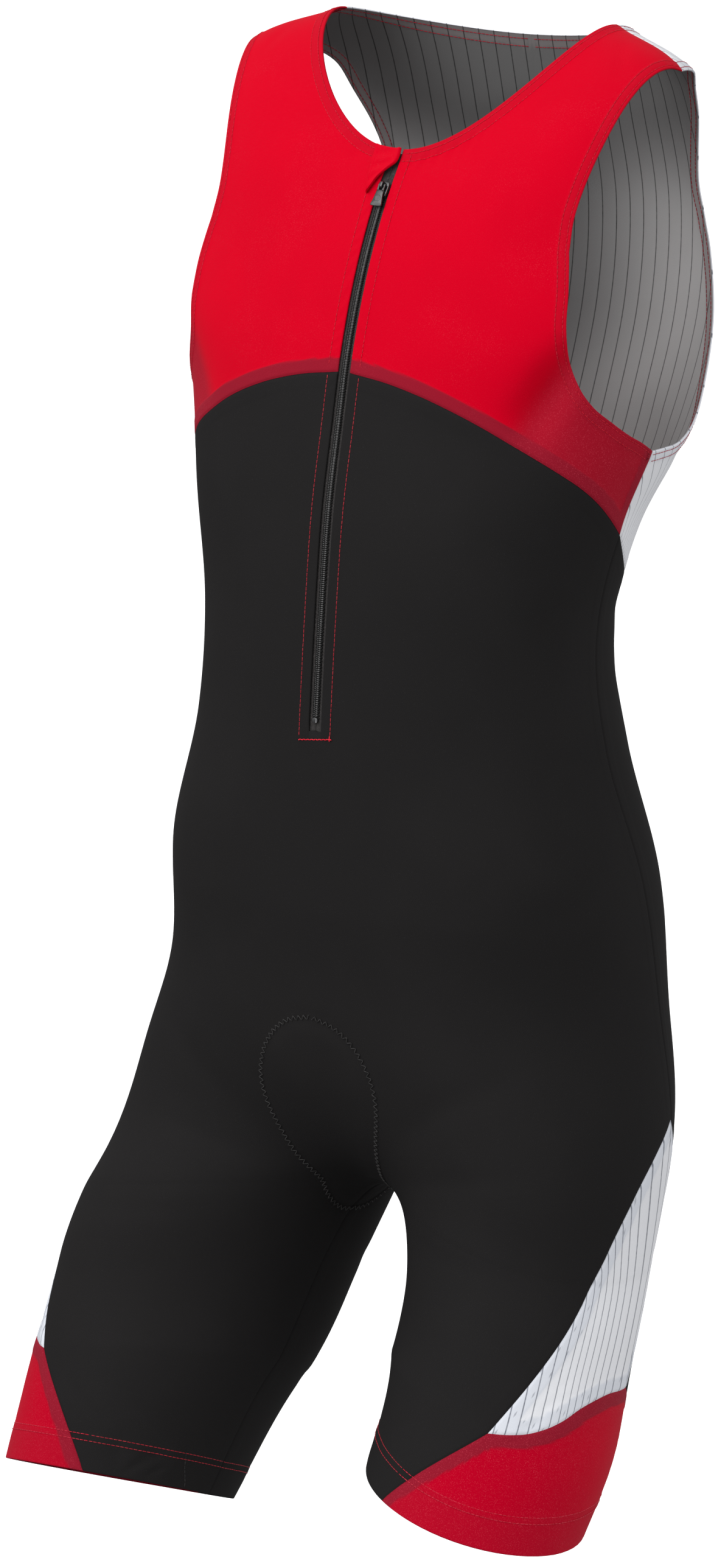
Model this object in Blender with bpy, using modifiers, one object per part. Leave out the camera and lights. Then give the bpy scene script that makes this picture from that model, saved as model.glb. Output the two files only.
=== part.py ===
"""Sleeveless triathlon suit, filled out as when worn. Metres, +Z up, the front faces -Y, the
wearer's left is +X. The origin is between the shoulders, where the wearer holds the suit up."""

import bpy
import numpy as np
from math import pi, radians, sin, cos

# ---- sizes -------------------------------------------------------------------
CM = 0.01
WALL = 0.0010          # knitted cloth with its turnings
SEAM = 0.0003          # gap between sewn pieces
TAPE_WALL = 0.0010
ZIP_HALF = 0.0045      # half of the tape that shows
TAPE_HALF = 0.0100
ZIP_END = 0.436        # where the slit for the zip ends, as a ring height
V_RISE, V_CROTCH, V_HEM = 0.60, 0.77, 0.985
ROW, COL = 0.005, 3.0  # spacing of the form's own rings (m) and columns (degrees)

# Rings of the body. height: name of the ring, its depth below the neckline or the shoulders.
# Then the points where it crosses the side, the centre front and the centre back, in cm,
# and how far the quarters between them are fuller than an ellipse.
BODY = [
    # height, side x, side y, side z, front y, front z, back y, back z, full front, full back
    (0.00, 10.2, 0.6, 0.3, -7.1, -8.0, 6.8, -0.7, 0.01, 0.06),
    (0.06, 16.0, -0.8, -2.3, -8.8, -11.5, 8.6, -5.5, 0.01, 0.06),
    (0.12, 18.1, -0.6, -8.5, -10.2, -15.5, 10.6, -10.9, 0.03, 0.08),
    (0.18, 18.9, -0.5, -16.0, -11.2, -20.0, 10.7, -17.2, 0.06, 0.08),
    (0.24, 17.1, -1.1, -23.5, -11.8, -25.0, 9.0, -24.0, 0.03, 0.07),
    (0.30, 14.8, -2.7, -30.0, -12.3, -30.0, 6.9, -30.0, 0.07, 0.06),
    (0.37, 13.5, -3.1, -37.0, -12.4, -37.0, 6.4, -37.0, 0.06, 0.07),
    (0.44, 14.0, -2.4, -44.0, -12.3, -44.0, 8.2, -44.0, 0.05, 0.09),
    (0.52, 16.1, -1.0, -52.0, -12.1, -52.0, 10.5, -52.0, 0.06, 0.08),
    (0.60, 17.0, 0.4, -60.0, -11.7, -60.0, 11.9, -60.0, 0.03, 0.06),
    (0.67, 18.6, -0.2, -67.0, -11.4, -67.0, 11.4, -67.0, 0.03, 0.06),
    (0.77, 19.1, -1.4, -77.0, -10.0, -77.0, 9.4, -77.0, 0.05, 0.06),
]
# Rings of the legs, in cm. skew turns the section's long way towards the outer front.
LEG_LEFT = [
    # height, centre x, centre y, half width, half depth, skew, inseam z, outer z, front above back
    (0.60, 9.3, 0.2, 9.3, 11.8, 0.0, -60.0, -60.0, 0.0),
    (0.70, 9.3, 0.3, 9.4, 11.0, 0.5, -69.0, -70.0, 0.0),
    (0.77, 9.3, 0.2, 9.3, 10.1, 1.0, -73.0, -77.0, 1.0),
    (0.81, 10.1, -1.1, 9.0, 9.5, 1.1, -76.0, -80.0, 2.0),
    (0.85, 11.1, -2.8, 8.4, 9.2, 1.0, -79.3, -83.0, 2.6),
    (0.92, 13.0, -6.3, 7.6, 8.4, 0.8, -83.9, -87.8, 2.2),
    (0.985, 13.8, -9.8, 6.9, 7.9, 0.4, -88.5, -91.8, 1.1),
]
LEG_RIGHT = [
    (0.60, 9.3, 0.2, 9.3, 11.8, 0.0, -60.0, -60.0, 0.0),
    (0.70, 9.8, -0.1, 9.6, 11.6, 0.6, -69.0, -70.0, 0.0),
    (0.77, 10.0, -1.8, 10.0, 11.1, 1.0, -73.0, -77.0, 1.5),
    (0.81, 10.6, -3.5, 9.4, 10.4, 1.2, -76.8, -80.6, 3.0),
    (0.85, 11.1, -5.0, 8.7, 9.6, 1.3, -81.0, -84.4, 4.2),
    (0.92, 12.5, -8.0, 7.7, 8.4, 0.6, -87.5, -90.0, 4.9),
    (0.985, 13.5, -10.3, 7.2, 7.8, 0.0, -94.2, -95.4, 5.2),
]

# Seams and edges: angle round the half ring (0 centre front or inseam, 90 side, 180 centre
# back or inseam again) and ring height.
SHOULDER_ANGLE, STRAP_END = 93.0, 0.058
ARMHOLE_FRONT = [(93.0, 0.058), (82.0, 0.055), (70.0, 0.058), (59.5, 0.069), (50.5, 0.091),
                 (46.0, 0.115), (44.5, 0.150), (45.5, 0.189), (53.0, 0.217), (67.0, 0.238),
                 (87.5, 0.254)]
ARMHOLE_BACK = [(93.0, 0.058), (110.0, 0.054), (125.0, 0.058), (134.0, 0.079), (141.0, 0.109),
                (140.0, 0.144), (137.0, 0.179), (128.0, 0.219), (110.0, 0.247), (87.5, 0.254)]
SIDE_UPPER = [(87.5, 0.254), (91.0, 0.278), (95.0, 0.304)]
ARCH_FRONT = [(0.0, 0.199), (8.0, 0.203), (15.0, 0.210), (27.0, 0.226), (42.0, 0.248),
              (53.0, 0.262), (65.0, 0.275), (80.0, 0.290), (95.0, 0.304)]
ARCH_BACK = [(95.0, 0.304), (107.0, 0.320), (125.0, 0.335), (150.0, 0.346), (180.0, 0.350)]
SIDE_LOWER = [(95.0, 0.304), (98.0, 0.40), (101.0, 0.52), (105.0, 0.673)]
THIGH_FRONT = [(105.0, 0.673), (94.0, 0.692), (84.2, 0.724), (79.2, 0.757), (75.0, 0.794),
               (67.5, 0.849), (58.0, 0.902)]
THIGH_BACK = [(105.0, 0.673), (111.0, 0.70), (112.5, 0.74), (108.0, 0.79), (100.0, 0.855)]
CUFF_TOP = [(58.0, 0.902), (66.6, 0.893), (74.7, 0.879), (80.5, 0.865), (88.0, 0.855), (100.0, 0.855)]
CUFF_FRONT = [(58.0, 0.902), (51.0, 0.926), (42.8, 0.955), (34.5, 0.985)]
CUFF_BACK = [(100.0, 0.855), (114.0, 0.885), (128.0, 0.935), (138.0, 0.985)]
# The flap over the zip's top, in cm from the centre front: ring height, plain edge, folded edge.
FLAP = [(0.000, -1.58, 0.40), (0.008, -1.56, 0.47), (0.0155, -1.53, 0.37), (0.0215, -1.49, 0.0),
        (0.030, -1.40, -0.47), (0.042, -1.25, -0.84), (0.049, -1.17, -1.04)]
FLAP_LIFT = 0.0014     # how far the folded edge stands off more than the plain one
COIL_HALF, COIL_OUT, COIL_WALL = 0.00175, 0.0004, 0.0013
SLIDER_AT, COIL_TOP, STOP_AT = 0.044, 0.0535, 0.4295


def table(rows, at):
    """Values of a table's rows at the given places of its first column, on a smooth curve."""
    rows = np.array(rows, float)
    x, y = rows[:, 0], rows[:, 1:]
    at = np.clip(np.asarray(at, float), x[0], x[-1])
    step = np.diff(x)
    rise = np.diff(y, axis=0) / step[:, None]
    slope = np.empty_like(y)
    slope[0], slope[-1] = rise[0], rise[-1]
    if len(x) > 2:
        share = (step[1:] / (step[1:] + step[:-1]))[:, None]
        slope[1:-1] = rise[:-1] * share + rise[1:] * (1 - share)
    i = np.clip(np.searchsorted(x, at, side="right") - 1, 0, len(x) - 2)
    s = ((at - x[i]) / step[i])[..., None]
    h = step[i][..., None]
    return ((1 + 2 * s) * (1 - s) ** 2 * y[i] + s * (1 - s) ** 2 * h * slope[i]
            + s * s * (3 - 2 * s) * y[i + 1] + s * s * (s - 1) * h * slope[i + 1])


def along(rows, n):
    """n + 1 places evenly along an edge given by its angles and heights."""
    rows = np.array(rows, float)
    length = np.append(0, np.cumsum(np.hypot(np.diff(rows[:, 0]) * 0.0028, np.diff(rows[:, 1]))))
    curve = np.column_stack([length, rows])
    return table(curve, np.linspace(0, length[-1], n + 1))


# ---- the form ----------------------------------------------------------------
def body_ring(height, phi):
    sx, sy, sz, fy, fz, by, bz, full_f, full_b = table(BODY, height)
    s, c = np.sin(phi), np.cos(phi)
    front = c >= 0
    full = 1 + np.where(front, full_f, full_b) * np.sin(2 * phi) ** 2
    out_y = np.where(front, fy, by) - sy
    out_z = np.where(front, fz, bz) - sz
    return np.stack([sx * s * full, sy + out_y * abs(c) * full, sz + out_z * c * c], -1) * CM


def leg_ring(rows, height, phi):
    cx, cy, rx, ry, skew, z_in, z_out, tip = table(rows, height)
    c, s = np.cos(2 * phi), np.sin(2 * phi)
    z = (z_in + z_out) / 2 - (z_out - z_in) / 2 * c + tip / 2 * s
    return np.stack([cx - rx * c + skew * s, cy - ry * s + skew * c, z], -1) * CM


def form_grid():
    """Outer face of the whole suit, [side, ring, column, xyz]; side 0 is the wearer's left."""
    heights = np.arange(0, V_HEM + ROW / 2, ROW)
    phi = np.radians(np.arange(0, 180 + COL / 2, COL))
    grid = np.zeros((2, len(heights), len(phi), 3))
    for side, legs in enumerate((LEG_LEFT, LEG_RIGHT)):
        for i, height in enumerate(heights):
            mix = np.clip((height - V_RISE) / (V_CROTCH - V_RISE), 0, 1)
            mix = 1 - cos(mix * pi / 2)
            grid[side, i] = ((1 - mix) * body_ring(height, phi)
                             + mix * leg_ring(legs, max(height, V_RISE), phi))
    grid[1, :, :, 0] *= -1
    crotch = int(round(V_CROTCH / ROW))
    # The fork is eased where body and legs meet.
    ease = (np.clip((heights - 0.55) / 0.06, 0, 1) * np.clip((0.90 - heights) / 0.06, 0, 1))[:, None]
    deg = np.degrees(phi)[None, :]
    ease = (ease * np.clip(1 - np.minimum(deg, 180 - deg) / 60, 0.08, 1))[None, :, :, None]
    for _ in range(160):
        padded = pad_columns(grid)
        up = np.concatenate([grid[:, :1], grid[:, :-1]], 1)
        down = np.concatenate([grid[:, 1:], grid[:, -1:]], 1)
        mean = (up + down) / 2 * 0.5 + (padded[:, :, :-2] + padded[:, :, 2:]) / 2 * 0.5
        grid = grid + 0.5 * ease * (mean - grid)
        ends = (grid[:, crotch:, 0] + grid[:, crotch:, -1]) / 2
        grid[:, crotch:, 0] = grid[:, crotch:, -1] = ends
        grid[:, crotch, 0] = grid[:, crotch, -1] = grid[:, crotch, 0].mean(0)
    return grid


def pad_columns(grid):
    """The grid with one more column at each end: the other half above the crotch, the ring's
    own far end below it."""
    crotch = int(round(V_CROTCH / ROW))
    first = np.concatenate([grid[::-1, :crotch, 1], grid[:, crotch:, -2]], 1)
    last = np.concatenate([grid[::-1, :crotch, -2], grid[:, crotch:, 1]], 1)
    return np.concatenate([first[:, :, None], grid, last[:, :, None]], 2)


FORM = pad_columns(form_grid())


def weights(t):
    return np.stack([-t / 2 + t * t - t ** 3 / 2, 1 - 2.5 * t * t + 1.5 * t ** 3,
                     t / 2 + 2 * t * t - 1.5 * t ** 3, (t ** 3 - t * t) / 2], -1)


def point(side, deg, height):
    """Point of the outer face at an angle and a ring height (arrays)."""
    deg, height = np.broadcast_arrays(np.asarray(deg, float), np.asarray(height, float))
    rings, columns = FORM.shape[1], FORM.shape[2] - 2
    r = np.clip(height / ROW, 0, rings - 1 - 1e-9)
    c = np.clip(deg / COL, 0, columns - 1 - 1e-9)
    i, j = np.floor(r).astype(int), np.floor(c).astype(int)
    wr, wc = weights(r - i), weights(c - j)
    total = np.zeros(deg.shape + (3,))
    for a in range(4):
        row = np.clip(i + a - 1, 0, rings - 1)
        for b in range(4):
            col = np.clip(j + b, 0, columns + 1)
            total += (wr[..., a] * wc[..., b])[..., None] * FORM[side, row, col]
    return total


def normal(side, deg, height):
    """Outward normal of the form."""
    deg, height = np.broadcast_arrays(np.asarray(deg, float), np.asarray(height, float))
    d0, d1 = np.clip(deg - 0.75, 0, 180), np.clip(deg + 0.75, 0, 180)
    h0, h1 = np.clip(height - 0.002, 0, V_HEM), np.clip(height + 0.002, 0, V_HEM)
    across = point(side, d1, height) - point(side, d0, height)
    down = point(side, deg, h1) - point(side, deg, h0)
    out = np.cross(down, across) * (1 if side == 0 else -1)
    middle = (np.minimum(deg, 180 - deg) < 1e-6) & (height < V_CROTCH - 1e-6)
    out[..., 0] = np.where(middle, 0, out[..., 0])
    return out / np.maximum(np.linalg.norm(out, axis=-1, keepdims=True), 1e-12)


def zip_angle(height):
    """Angle at which the form is ZIP_HALF from the centre front."""
    return np.degrees(np.arcsin(ZIP_HALF / (table(BODY, height)[..., 0] * CM)))


# ---- panels ------------------------------------------------------------------
def coons(top, bottom, left, right):
    """Places inside four edges; top and bottom run left to right, left and right downwards."""
    s = np.linspace(0, 1, len(top))[None, :, None]
    t = np.linspace(0, 1, len(left))[:, None, None]
    return ((1 - t) * top[None] + t * bottom[None] + (1 - s) * left[:, None] + s * right[:, None]
            - (1 - s) * (1 - t) * top[0] - s * (1 - t) * top[-1]
            - (1 - s) * t * bottom[0] - s * t * bottom[-1])


def eased(places, turns=60):
    """Spreads the inner places of a net evenly, so that none of its cells folds over."""
    p = places * (0.0028, 1)
    for _ in range(turns):
        across = (p[1:-1, 2:] - p[1:-1, :-2]) / 2
        down = (p[2:, 1:-1] - p[:-2, 1:-1]) / 2
        a, c, b = ((u * v).sum(-1, keepdims=True)
                   for u, v in ((down, down), (across, across), (across, down)))
        mixed = (p[2:, 2:] - p[2:, :-2] - p[:-2, 2:] + p[:-2, :-2]) / 4
        p[1:-1, 1:-1] = (a * (p[1:-1, 2:] + p[1:-1, :-2]) + c * (p[2:, 1:-1] + p[:-2, 1:-1])
                         - 2 * b * mixed) / (2 * (a + c))
    return p / (0.0028, 1)


def drawn_in(points, by=SEAM / 2, edges="lrtb"):
    """The same net with its sewn edges moved in, square to each edge."""
    moved = points.copy()
    for edge in edges:
        line, inner = {"l": (np.s_[:, 0], np.s_[:, 1]), "r": (np.s_[:, -1], np.s_[:, -2]),
                       "t": (np.s_[0], np.s_[1]), "b": (np.s_[-1], np.s_[-2])}[edge]
        rim, inside = points[line], points[inner]
        tangent = np.gradient(rim, axis=0)
        tangent /= np.maximum(np.linalg.norm(tangent, axis=1, keepdims=True), 1e-12)
        inward = inside - rim
        inward = inward - (inward * tangent).sum(1, keepdims=True) * tangent
        inward /= np.maximum(np.linalg.norm(inward, axis=1, keepdims=True), 1e-12)
        moved[line] += inward * by
    return moved


def net_faces(index, side):
    """Quads of a net of vertex numbers, facing out; a negative number is a missing vertex."""
    faces = []
    for i in range(index.shape[0] - 1):
        for j in range(index.shape[1] - 1):
            quad = [index[i, j], index[i + 1, j], index[i + 1, j + 1], index[i, j + 1]]
            if min(quad) < 0:
                continue
            quad = quad if side == 0 else quad[::-1]
            faces.append([int(v) for k, v in enumerate(quad) if v != quad[k - 1]])
    return [face for face in faces if len(face) > 2]


COLLECTION = bpy.data.collections.new("triathlon_suit")
COLOURS = {
    "red_knit": ((0.74, 0.002, 0.020, 1), 0.55), "black_knit": ((0.018, 0.017, 0.017, 1), 0.75),
    "white_pinstripe_knit": ((0.62, 0.63, 0.67, 1), 0.6),
    "zip_tape": ((0.03, 0.024, 0.022, 1), 0.8), "zip_coil": ((0.02, 0.02, 0.02, 1), 0.4),
    "zip_lacquer": ((0.05, 0.05, 0.05, 1), 0.25),
}


def node(name, vertices, faces, slot, wall=0.0):
    mesh = bpy.data.meshes.new(name)
    mesh.from_pydata([tuple(float(x) for x in v) for v in vertices], [], faces)
    mesh.update()
    obj = bpy.data.objects.new(name, mesh)
    COLLECTION.objects.link(obj)
    material = bpy.data.materials.new(name + "_" + slot)
    material.use_nodes = True
    shader = material.node_tree.nodes["Principled BSDF"]
    colour, rough = COLOURS[slot]
    shader.inputs["Base Color"].default_value = colour
    shader.inputs["Roughness"].default_value = rough
    mesh.materials.append(material)
    if wall:
        shell = obj.modifiers.new("wall", "SOLIDIFY")
        shell.thickness, shell.offset = wall, -1.0
    return obj


def joined(nets, sides, weld=None):
    """Vertices and faces of several nets; weld gives the net and place that a vertex repeats."""
    vertices, numbers, faces = [], [], []
    for k, net in enumerate(nets):
        index = np.full(net.shape[:2], -1)
        for i in range(net.shape[0]):
            for j in range(net.shape[1]):
                if np.isnan(net[i, j, 0]):
                    continue
                other = weld(k, i, j) if weld else None
                if other is not None:
                    index[i, j] = numbers[other[0]][other[1], other[2]]
                else:
                    index[i, j] = len(vertices)
                    vertices.append(net[i, j])
        numbers.append(index)
        faces += net_faces(index, sides[k])
    return vertices, faces


SIDES = ((0, "left"), (1, "right"))
ACROSS = 12                                # columns of the yokes and the bodies
NECK_ROWS, FRONT_ROWS, UNDER_ROWS = 8, 9, 4

# Rows of both bodies below the arch: outer heights between the seam corners, with counts.
V_SLIT = float(np.interp(ZIP_END, [0.199, V_CROTCH], [0.304, V_CROTCH]))


def steps(*stops):
    """Places through (place, count) stops, count segments up to each."""
    places = [stops[0]]
    for stop, count in stops[1:]:
        places += list(np.linspace(places[-1], stop, count + 1)[1:])
    return np.array(places)


def shares(*counts):
    return steps(0.0, *[(k + 1.0, count) for k, count in enumerate(counts)])


ROW_SHARES = shares(9, 8, 6, 9, 6)
FRONT_OUTER = np.interp(ROW_SHARES, range(6), [0.304, V_SLIT, 0.673, V_CROTCH, 0.902, V_HEM])
FRONT_INNER = np.interp(ROW_SHARES, range(6),
                        [0.199, ZIP_END, float(np.interp(0.673, [0.304, V_CROTCH], [0.199, V_CROTCH])),
                         V_CROTCH, 0.902, V_HEM])
BACK_OUTER = np.interp(ROW_SHARES, range(6), [0.304, V_SLIT, 0.673, V_CROTCH, 0.855, V_HEM])
BACK_INNER = np.interp(ROW_SHARES, range(6),
                       [0.350, float(np.interp(V_SLIT, [0.304, V_CROTCH], [0.350, V_CROTCH])),
                        float(np.interp(0.673, [0.304, V_CROTCH], [0.350, V_CROTCH])),
                        V_CROTCH, 0.902, V_HEM])
SLIT_ROW, THIGH_ROW, CROTCH_ROW, CORNER_ROW = 9, 17, 23, 32


def at_height(rows, height):
    """Angle of an edge at ring heights, for an edge whose height only grows."""
    rows = np.array(rows, float)
    return table(rows[:, ::-1], height)[..., 0]


def edge_angle(outer, upper, middle, lower):
    return np.array([at_height(upper if h <= 0.673 else middle if h < stop else lower, h)
                     for h, stop in zip(outer, [middle[-1][1]] * len(outer))])


# ---- red front yokes ---------------------------------------------------------
def front_yoke_places():
    top = np.column_stack([np.full(ACROSS + 1, SHOULDER_ANGLE), np.linspace(0, STRAP_END, ACROSS + 1)])
    corner = float(zip_angle(0.0))
    neck = np.column_stack([np.linspace(SHOULDER_ANGLE, corner, NECK_ROWS + 1), np.zeros(NECK_ROWS + 1)])
    down = np.linspace(0, 0.199, FRONT_ROWS + UNDER_ROWS + 1)
    front = np.column_stack([zip_angle(down), down])
    arm = along(ARMHOLE_FRONT, NECK_ROWS + FRONT_ROWS)
    side = along(SIDE_UPPER, UNDER_ROWS)
    arch_angle = zip_angle(0.199) + (95.0 - zip_angle(0.199)) * np.linspace(0, 1, ACROSS + 1)
    bottom = np.column_stack([arch_angle, table(ARCH_FRONT, arch_angle)[:, 0]])
    bottom[0, 1] = 0.199
    return eased(coons(top, bottom, np.vstack([neck, front[1:]]), np.vstack([arm, side[1:]])))


def back_yoke_places():
    top = np.column_stack([np.full(ACROSS + 1, SHOULDER_ANGLE), np.linspace(0, STRAP_END, ACROSS + 1)])
    neck = np.column_stack([np.linspace(SHOULDER_ANGLE, 180, NECK_ROWS + 1), np.zeros(NECK_ROWS + 1)])
    down = np.linspace(0, 0.350, FRONT_ROWS + UNDER_ROWS + 1)
    centre = np.column_stack([np.full(len(down), 180.0), down])
    arm = along(ARMHOLE_BACK, NECK_ROWS + FRONT_ROWS)
    side = along(SIDE_UPPER, UNDER_ROWS)
    angle = 180 - 85.0 * np.linspace(0, 1, ACROSS + 1)
    bottom = np.column_stack([angle, table(ARCH_BACK, angle)[:, 0]])
    return eased(coons(top, bottom, np.vstack([neck, centre[1:]]), np.vstack([arm, side[1:]])))


def front_yoke(side, label):
    at = front_yoke_places()
    net = drawn_in(point(side, at[..., 0], at[..., 1]), edges="tb")
    net[NECK_ROWS + FRONT_ROWS:] = drawn_in(net[NECK_ROWS + FRONT_ROWS:], edges="r")
    vertices, faces = joined([net], [side])
    node("front_yoke_" + label, vertices, faces, "red_knit", WALL)


def back_yoke():
    at = back_yoke_places()
    nets = []
    for side, _ in SIDES:
        net = drawn_in(point(side, at[..., 0], at[..., 1]), edges="tb")
        net[NECK_ROWS + FRONT_ROWS:] = drawn_in(net[NECK_ROWS + FRONT_ROWS:], edges="r")
        nets.append(net)
    centre = NECK_ROWS
    vertices, faces = joined(nets, (1, 0),
                             lambda k, i, j: (0, i, j) if k == 1 and j == 0 and i >= centre else None)
    node("back_yoke", vertices, faces, "white_pinstripe_knit", WALL)


# ---- black front and back ----------------------------------------------------
def front_body_places():
    """Column 0 is the centre front or the inseam, column 1 runs on from the zip's edge."""
    angle_out = edge_angle(FRONT_OUTER, SIDE_LOWER, THIGH_FRONT, CUFF_FRONT)
    places = np.zeros((len(FRONT_OUTER), ACROSS + 2, 2))
    for i, (outer, inner, far) in enumerate(zip(FRONT_OUTER, FRONT_INNER, angle_out)):
        near = float(zip_angle(min(inner, 0.6)))
        angle = np.append(0.0, near + (far - near) * np.linspace(0, 1, ACROSS + 1))
        share = angle / far
        fade = max(0.0, 1 - i / 14.0)
        bow = table(ARCH_FRONT, share * 95.0)[:, 0] - (0.199 + 0.105 * share)
        places[i, :, 0] = angle
        places[i, :, 1] = inner + (outer - inner) * share + bow * fade
        if i == 0:
            places[i, :2, 1] = 0.199
    return places


def front_body():
    nets = []
    for side, _ in SIDES:
        at = front_body_places()
        net = point(side, at[..., 0], at[..., 1])
        net = drawn_in(net, edges="tr")
        legs = drawn_in(net[CROTCH_ROW:], edges="l")
        net[CROTCH_ROW + 1:] = legs[1:]
        net[CROTCH_ROW, 0] += (0, -SEAM * 1.2, 0)
        net[:SLIT_ROW, 0] = np.nan
        nets.append(net)
    vertices, faces = joined(nets, (0, 1), lambda k, i, j: (
        (0, i, j) if k == 1 and j == 0 and SLIT_ROW <= i <= CROTCH_ROW else None))
    node("front_body", vertices, faces, "black_knit", WALL)


def back_body_places():
    angle_out = edge_angle(BACK_OUTER, SIDE_LOWER, THIGH_BACK, CUFF_BACK)
    places = np.zeros((len(BACK_OUTER), ACROSS + 1, 2))
    for i, (outer, inner, far) in enumerate(zip(BACK_OUTER, BACK_INNER, angle_out)):
        share = np.linspace(0, 1, ACROSS + 1)
        fade = max(0.0, 1 - i / 10.0)
        bow = table(ARCH_BACK, 180 - 85 * share)[:, 0] - (0.350 - 0.046 * share)
        places[i, :, 0] = 180 + (far - 180) * share
        places[i, :, 1] = inner + (outer - inner) * share + bow * fade
    return places


def back_body():
    nets = []
    at = back_body_places()
    for side, _ in SIDES:
        net = drawn_in(point(side, at[..., 0], at[..., 1]), edges="tr")
        legs = drawn_in(net[CROTCH_ROW:], edges="l")
        net[CROTCH_ROW + 1:] = legs[1:]
        net[CROTCH_ROW, 0] += (0, SEAM * 1.2, 0)
        nets.append(net)
    vertices, faces = joined(
        nets, (1, 0), lambda k, i, j: (0, i, j) if k == 1 and j == 0 and i <= CROTCH_ROW else None)
    node("back_body", vertices, faces, "black_knit", WALL)


# ---- thigh panels and cuffs --------------------------------------------------
LEAF_ACROSS = 9


def thigh_places():
    front = np.column_stack([edge_angle(FRONT_OUTER, SIDE_LOWER, THIGH_FRONT, CUFF_FRONT),
                             FRONT_OUTER])[THIGH_ROW:CORNER_ROW + 1]
    back = np.column_stack([edge_angle(BACK_OUTER, SIDE_LOWER, THIGH_BACK, CUFF_BACK),
                            BACK_OUTER])[THIGH_ROW:CORNER_ROW + 1]
    front[-1], back[-1] = THIGH_FRONT[-1], THIGH_BACK[-1]
    top = np.repeat(front[:1], LEAF_ACROSS + 1, 0)
    bottom = along(CUFF_TOP, LEAF_ACROSS)
    return coons(top, bottom, front, back)


def thigh_panel(side, label):
    at = thigh_places()
    net = point(side, at[..., 0], at[..., 1])
    net[0] = net[0] + (net[1] - net[0]) * 0.2
    net = drawn_in(net, edges="lrtb")
    vertices, faces = joined([net], [side])
    node("thigh_panel_" + label, vertices, faces, "white_pinstripe_knit", WALL)


def cuff_places():
    front = np.column_stack([edge_angle(FRONT_OUTER, SIDE_LOWER, THIGH_FRONT, CUFF_FRONT),
                             FRONT_OUTER])[CORNER_ROW:]
    back = np.column_stack([edge_angle(BACK_OUTER, SIDE_LOWER, THIGH_BACK, CUFF_BACK),
                            BACK_OUTER])[CORNER_ROW:]
    front[0], back[0] = CUFF_FRONT[0], CUFF_BACK[0]
    top = along(CUFF_TOP, LEAF_ACROSS)
    bottom = np.column_stack([np.linspace(front[-1, 0], back[-1, 0], LEAF_ACROSS + 1),
                              np.full(LEAF_ACROSS + 1, V_HEM)])
    return coons(top, bottom, front, back)


def cuff(side, label):
    at = cuff_places()
    net = drawn_in(point(side, at[..., 0], at[..., 1]), edges="tlr")
    vertices, faces = joined([net], [side])
    node("cuff_" + label, vertices, faces, "red_knit", WALL)


# ---- zip and flap ------------------------------------------------------------
def across_front(x, height, out):
    """Points at distances x (m) from the centre front, moved out from the form."""
    x, height, out = np.broadcast_arrays(*(np.asarray(a, float) for a in (x, height, out)))
    deg = np.degrees(np.arcsin(abs(x) / (table(BODY, height)[..., 0] * CM)))
    on_left = (point(0, deg, height) + normal(0, deg, height) * out[..., None])
    on_right = (point(1, deg, height) + normal(1, deg, height) * out[..., None])
    return np.where((x >= 0)[..., None], on_left, on_right)


def strip(name, slot, rows, columns, out, wall):
    """A strip down the front: rows of heights, columns of distances from the centre."""
    net = across_front(columns, rows[:, None], out)
    vertices, faces = joined([net], [0])
    node(name, vertices, faces, slot, wall)


def zip_parts():
    rows = np.linspace(0.004, ZIP_END + 0.008, 24)
    edges = np.array([SEAM / 2, ZIP_HALF, TAPE_HALF])
    strip("zip_tape_left", "zip_tape", rows, edges[None], -(WALL + SEAM), TAPE_WALL)
    strip("zip_tape_right", "zip_tape", rows, -edges[None, ::-1], -(WALL + SEAM), TAPE_WALL)
    rows = np.linspace(COIL_TOP, STOP_AT - 0.0025, 24)
    coil = np.array([-COIL_HALF, 0.0, COIL_HALF])
    strip("zip_teeth", "zip_coil", rows, coil[None], COIL_OUT, COIL_WALL)


def flap():
    rows = np.linspace(FLAP[0][0], FLAP[-1][0], 10)
    plain, fold = (table(FLAP, rows) * CM).T
    share = np.linspace(0, 1, 6)[None]
    x = plain[:, None] + (fold - plain)[:, None] * share
    wall = 0.0012
    net = across_front(x, rows[:, None], 0.0005 + wall + FLAP_LIFT * share ** 2)
    vertices, faces = joined([net], [0])
    node("zip_garage", vertices, faces, "red_knit", wall)


def zip_frame(height):
    """Centre front point, and the directions to the wearer's left, down the zip and out."""
    out = normal(0, 0.0, height)
    down = point(0, 0.0, height + 0.004) - point(0, 0.0, height - 0.004)
    down /= np.linalg.norm(down)
    return point(0, 0.0, height), np.array([1.0, 0, 0]), down, out


def block(name, slot, frame, outline, low, high, along_axis):
    """A prism in the zip's own frame, in mm. outline holds pairs in the two other axes."""
    origin, *axes = frame
    order = [k for k in range(3) if k != along_axis]
    vertices = []
    for level in (low, high):
        for pair in outline:
            place = np.zeros(3)
            place[order[0]], place[order[1]], place[along_axis] = pair[0], pair[1], level
            vertices.append(origin + sum(axes[k] * place[k] / 1000 for k in range(3)))
    n = len(outline)
    faces = [list(range(n)), list(range(2 * n - 1, n - 1, -1))]
    faces += [[i, i + n, (i + 1) % n + n, (i + 1) % n] for i in range(n)]
    centre = np.mean(vertices, axis=0)
    edge_a = vertices[faces[0][1]] - vertices[faces[0][0]]
    edge_b = vertices[faces[0][2]] - vertices[faces[0][1]]
    if np.dot(np.cross(edge_a, edge_b), vertices[0] - centre) < 0:
        faces = [face[::-1] for face in faces]
    return node(name, vertices, faces, slot)


def united(body, others):
    """Joins helpers to a body with exact Booleans and hides them."""
    for other in others:
        cut = body.modifiers.new("join " + other.name, "BOOLEAN")
        cut.operation, cut.solver, cut.object = "UNION", "EXACT", other
        other.hide_render = True
        other.display_type = "WIRE"
    return body


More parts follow.
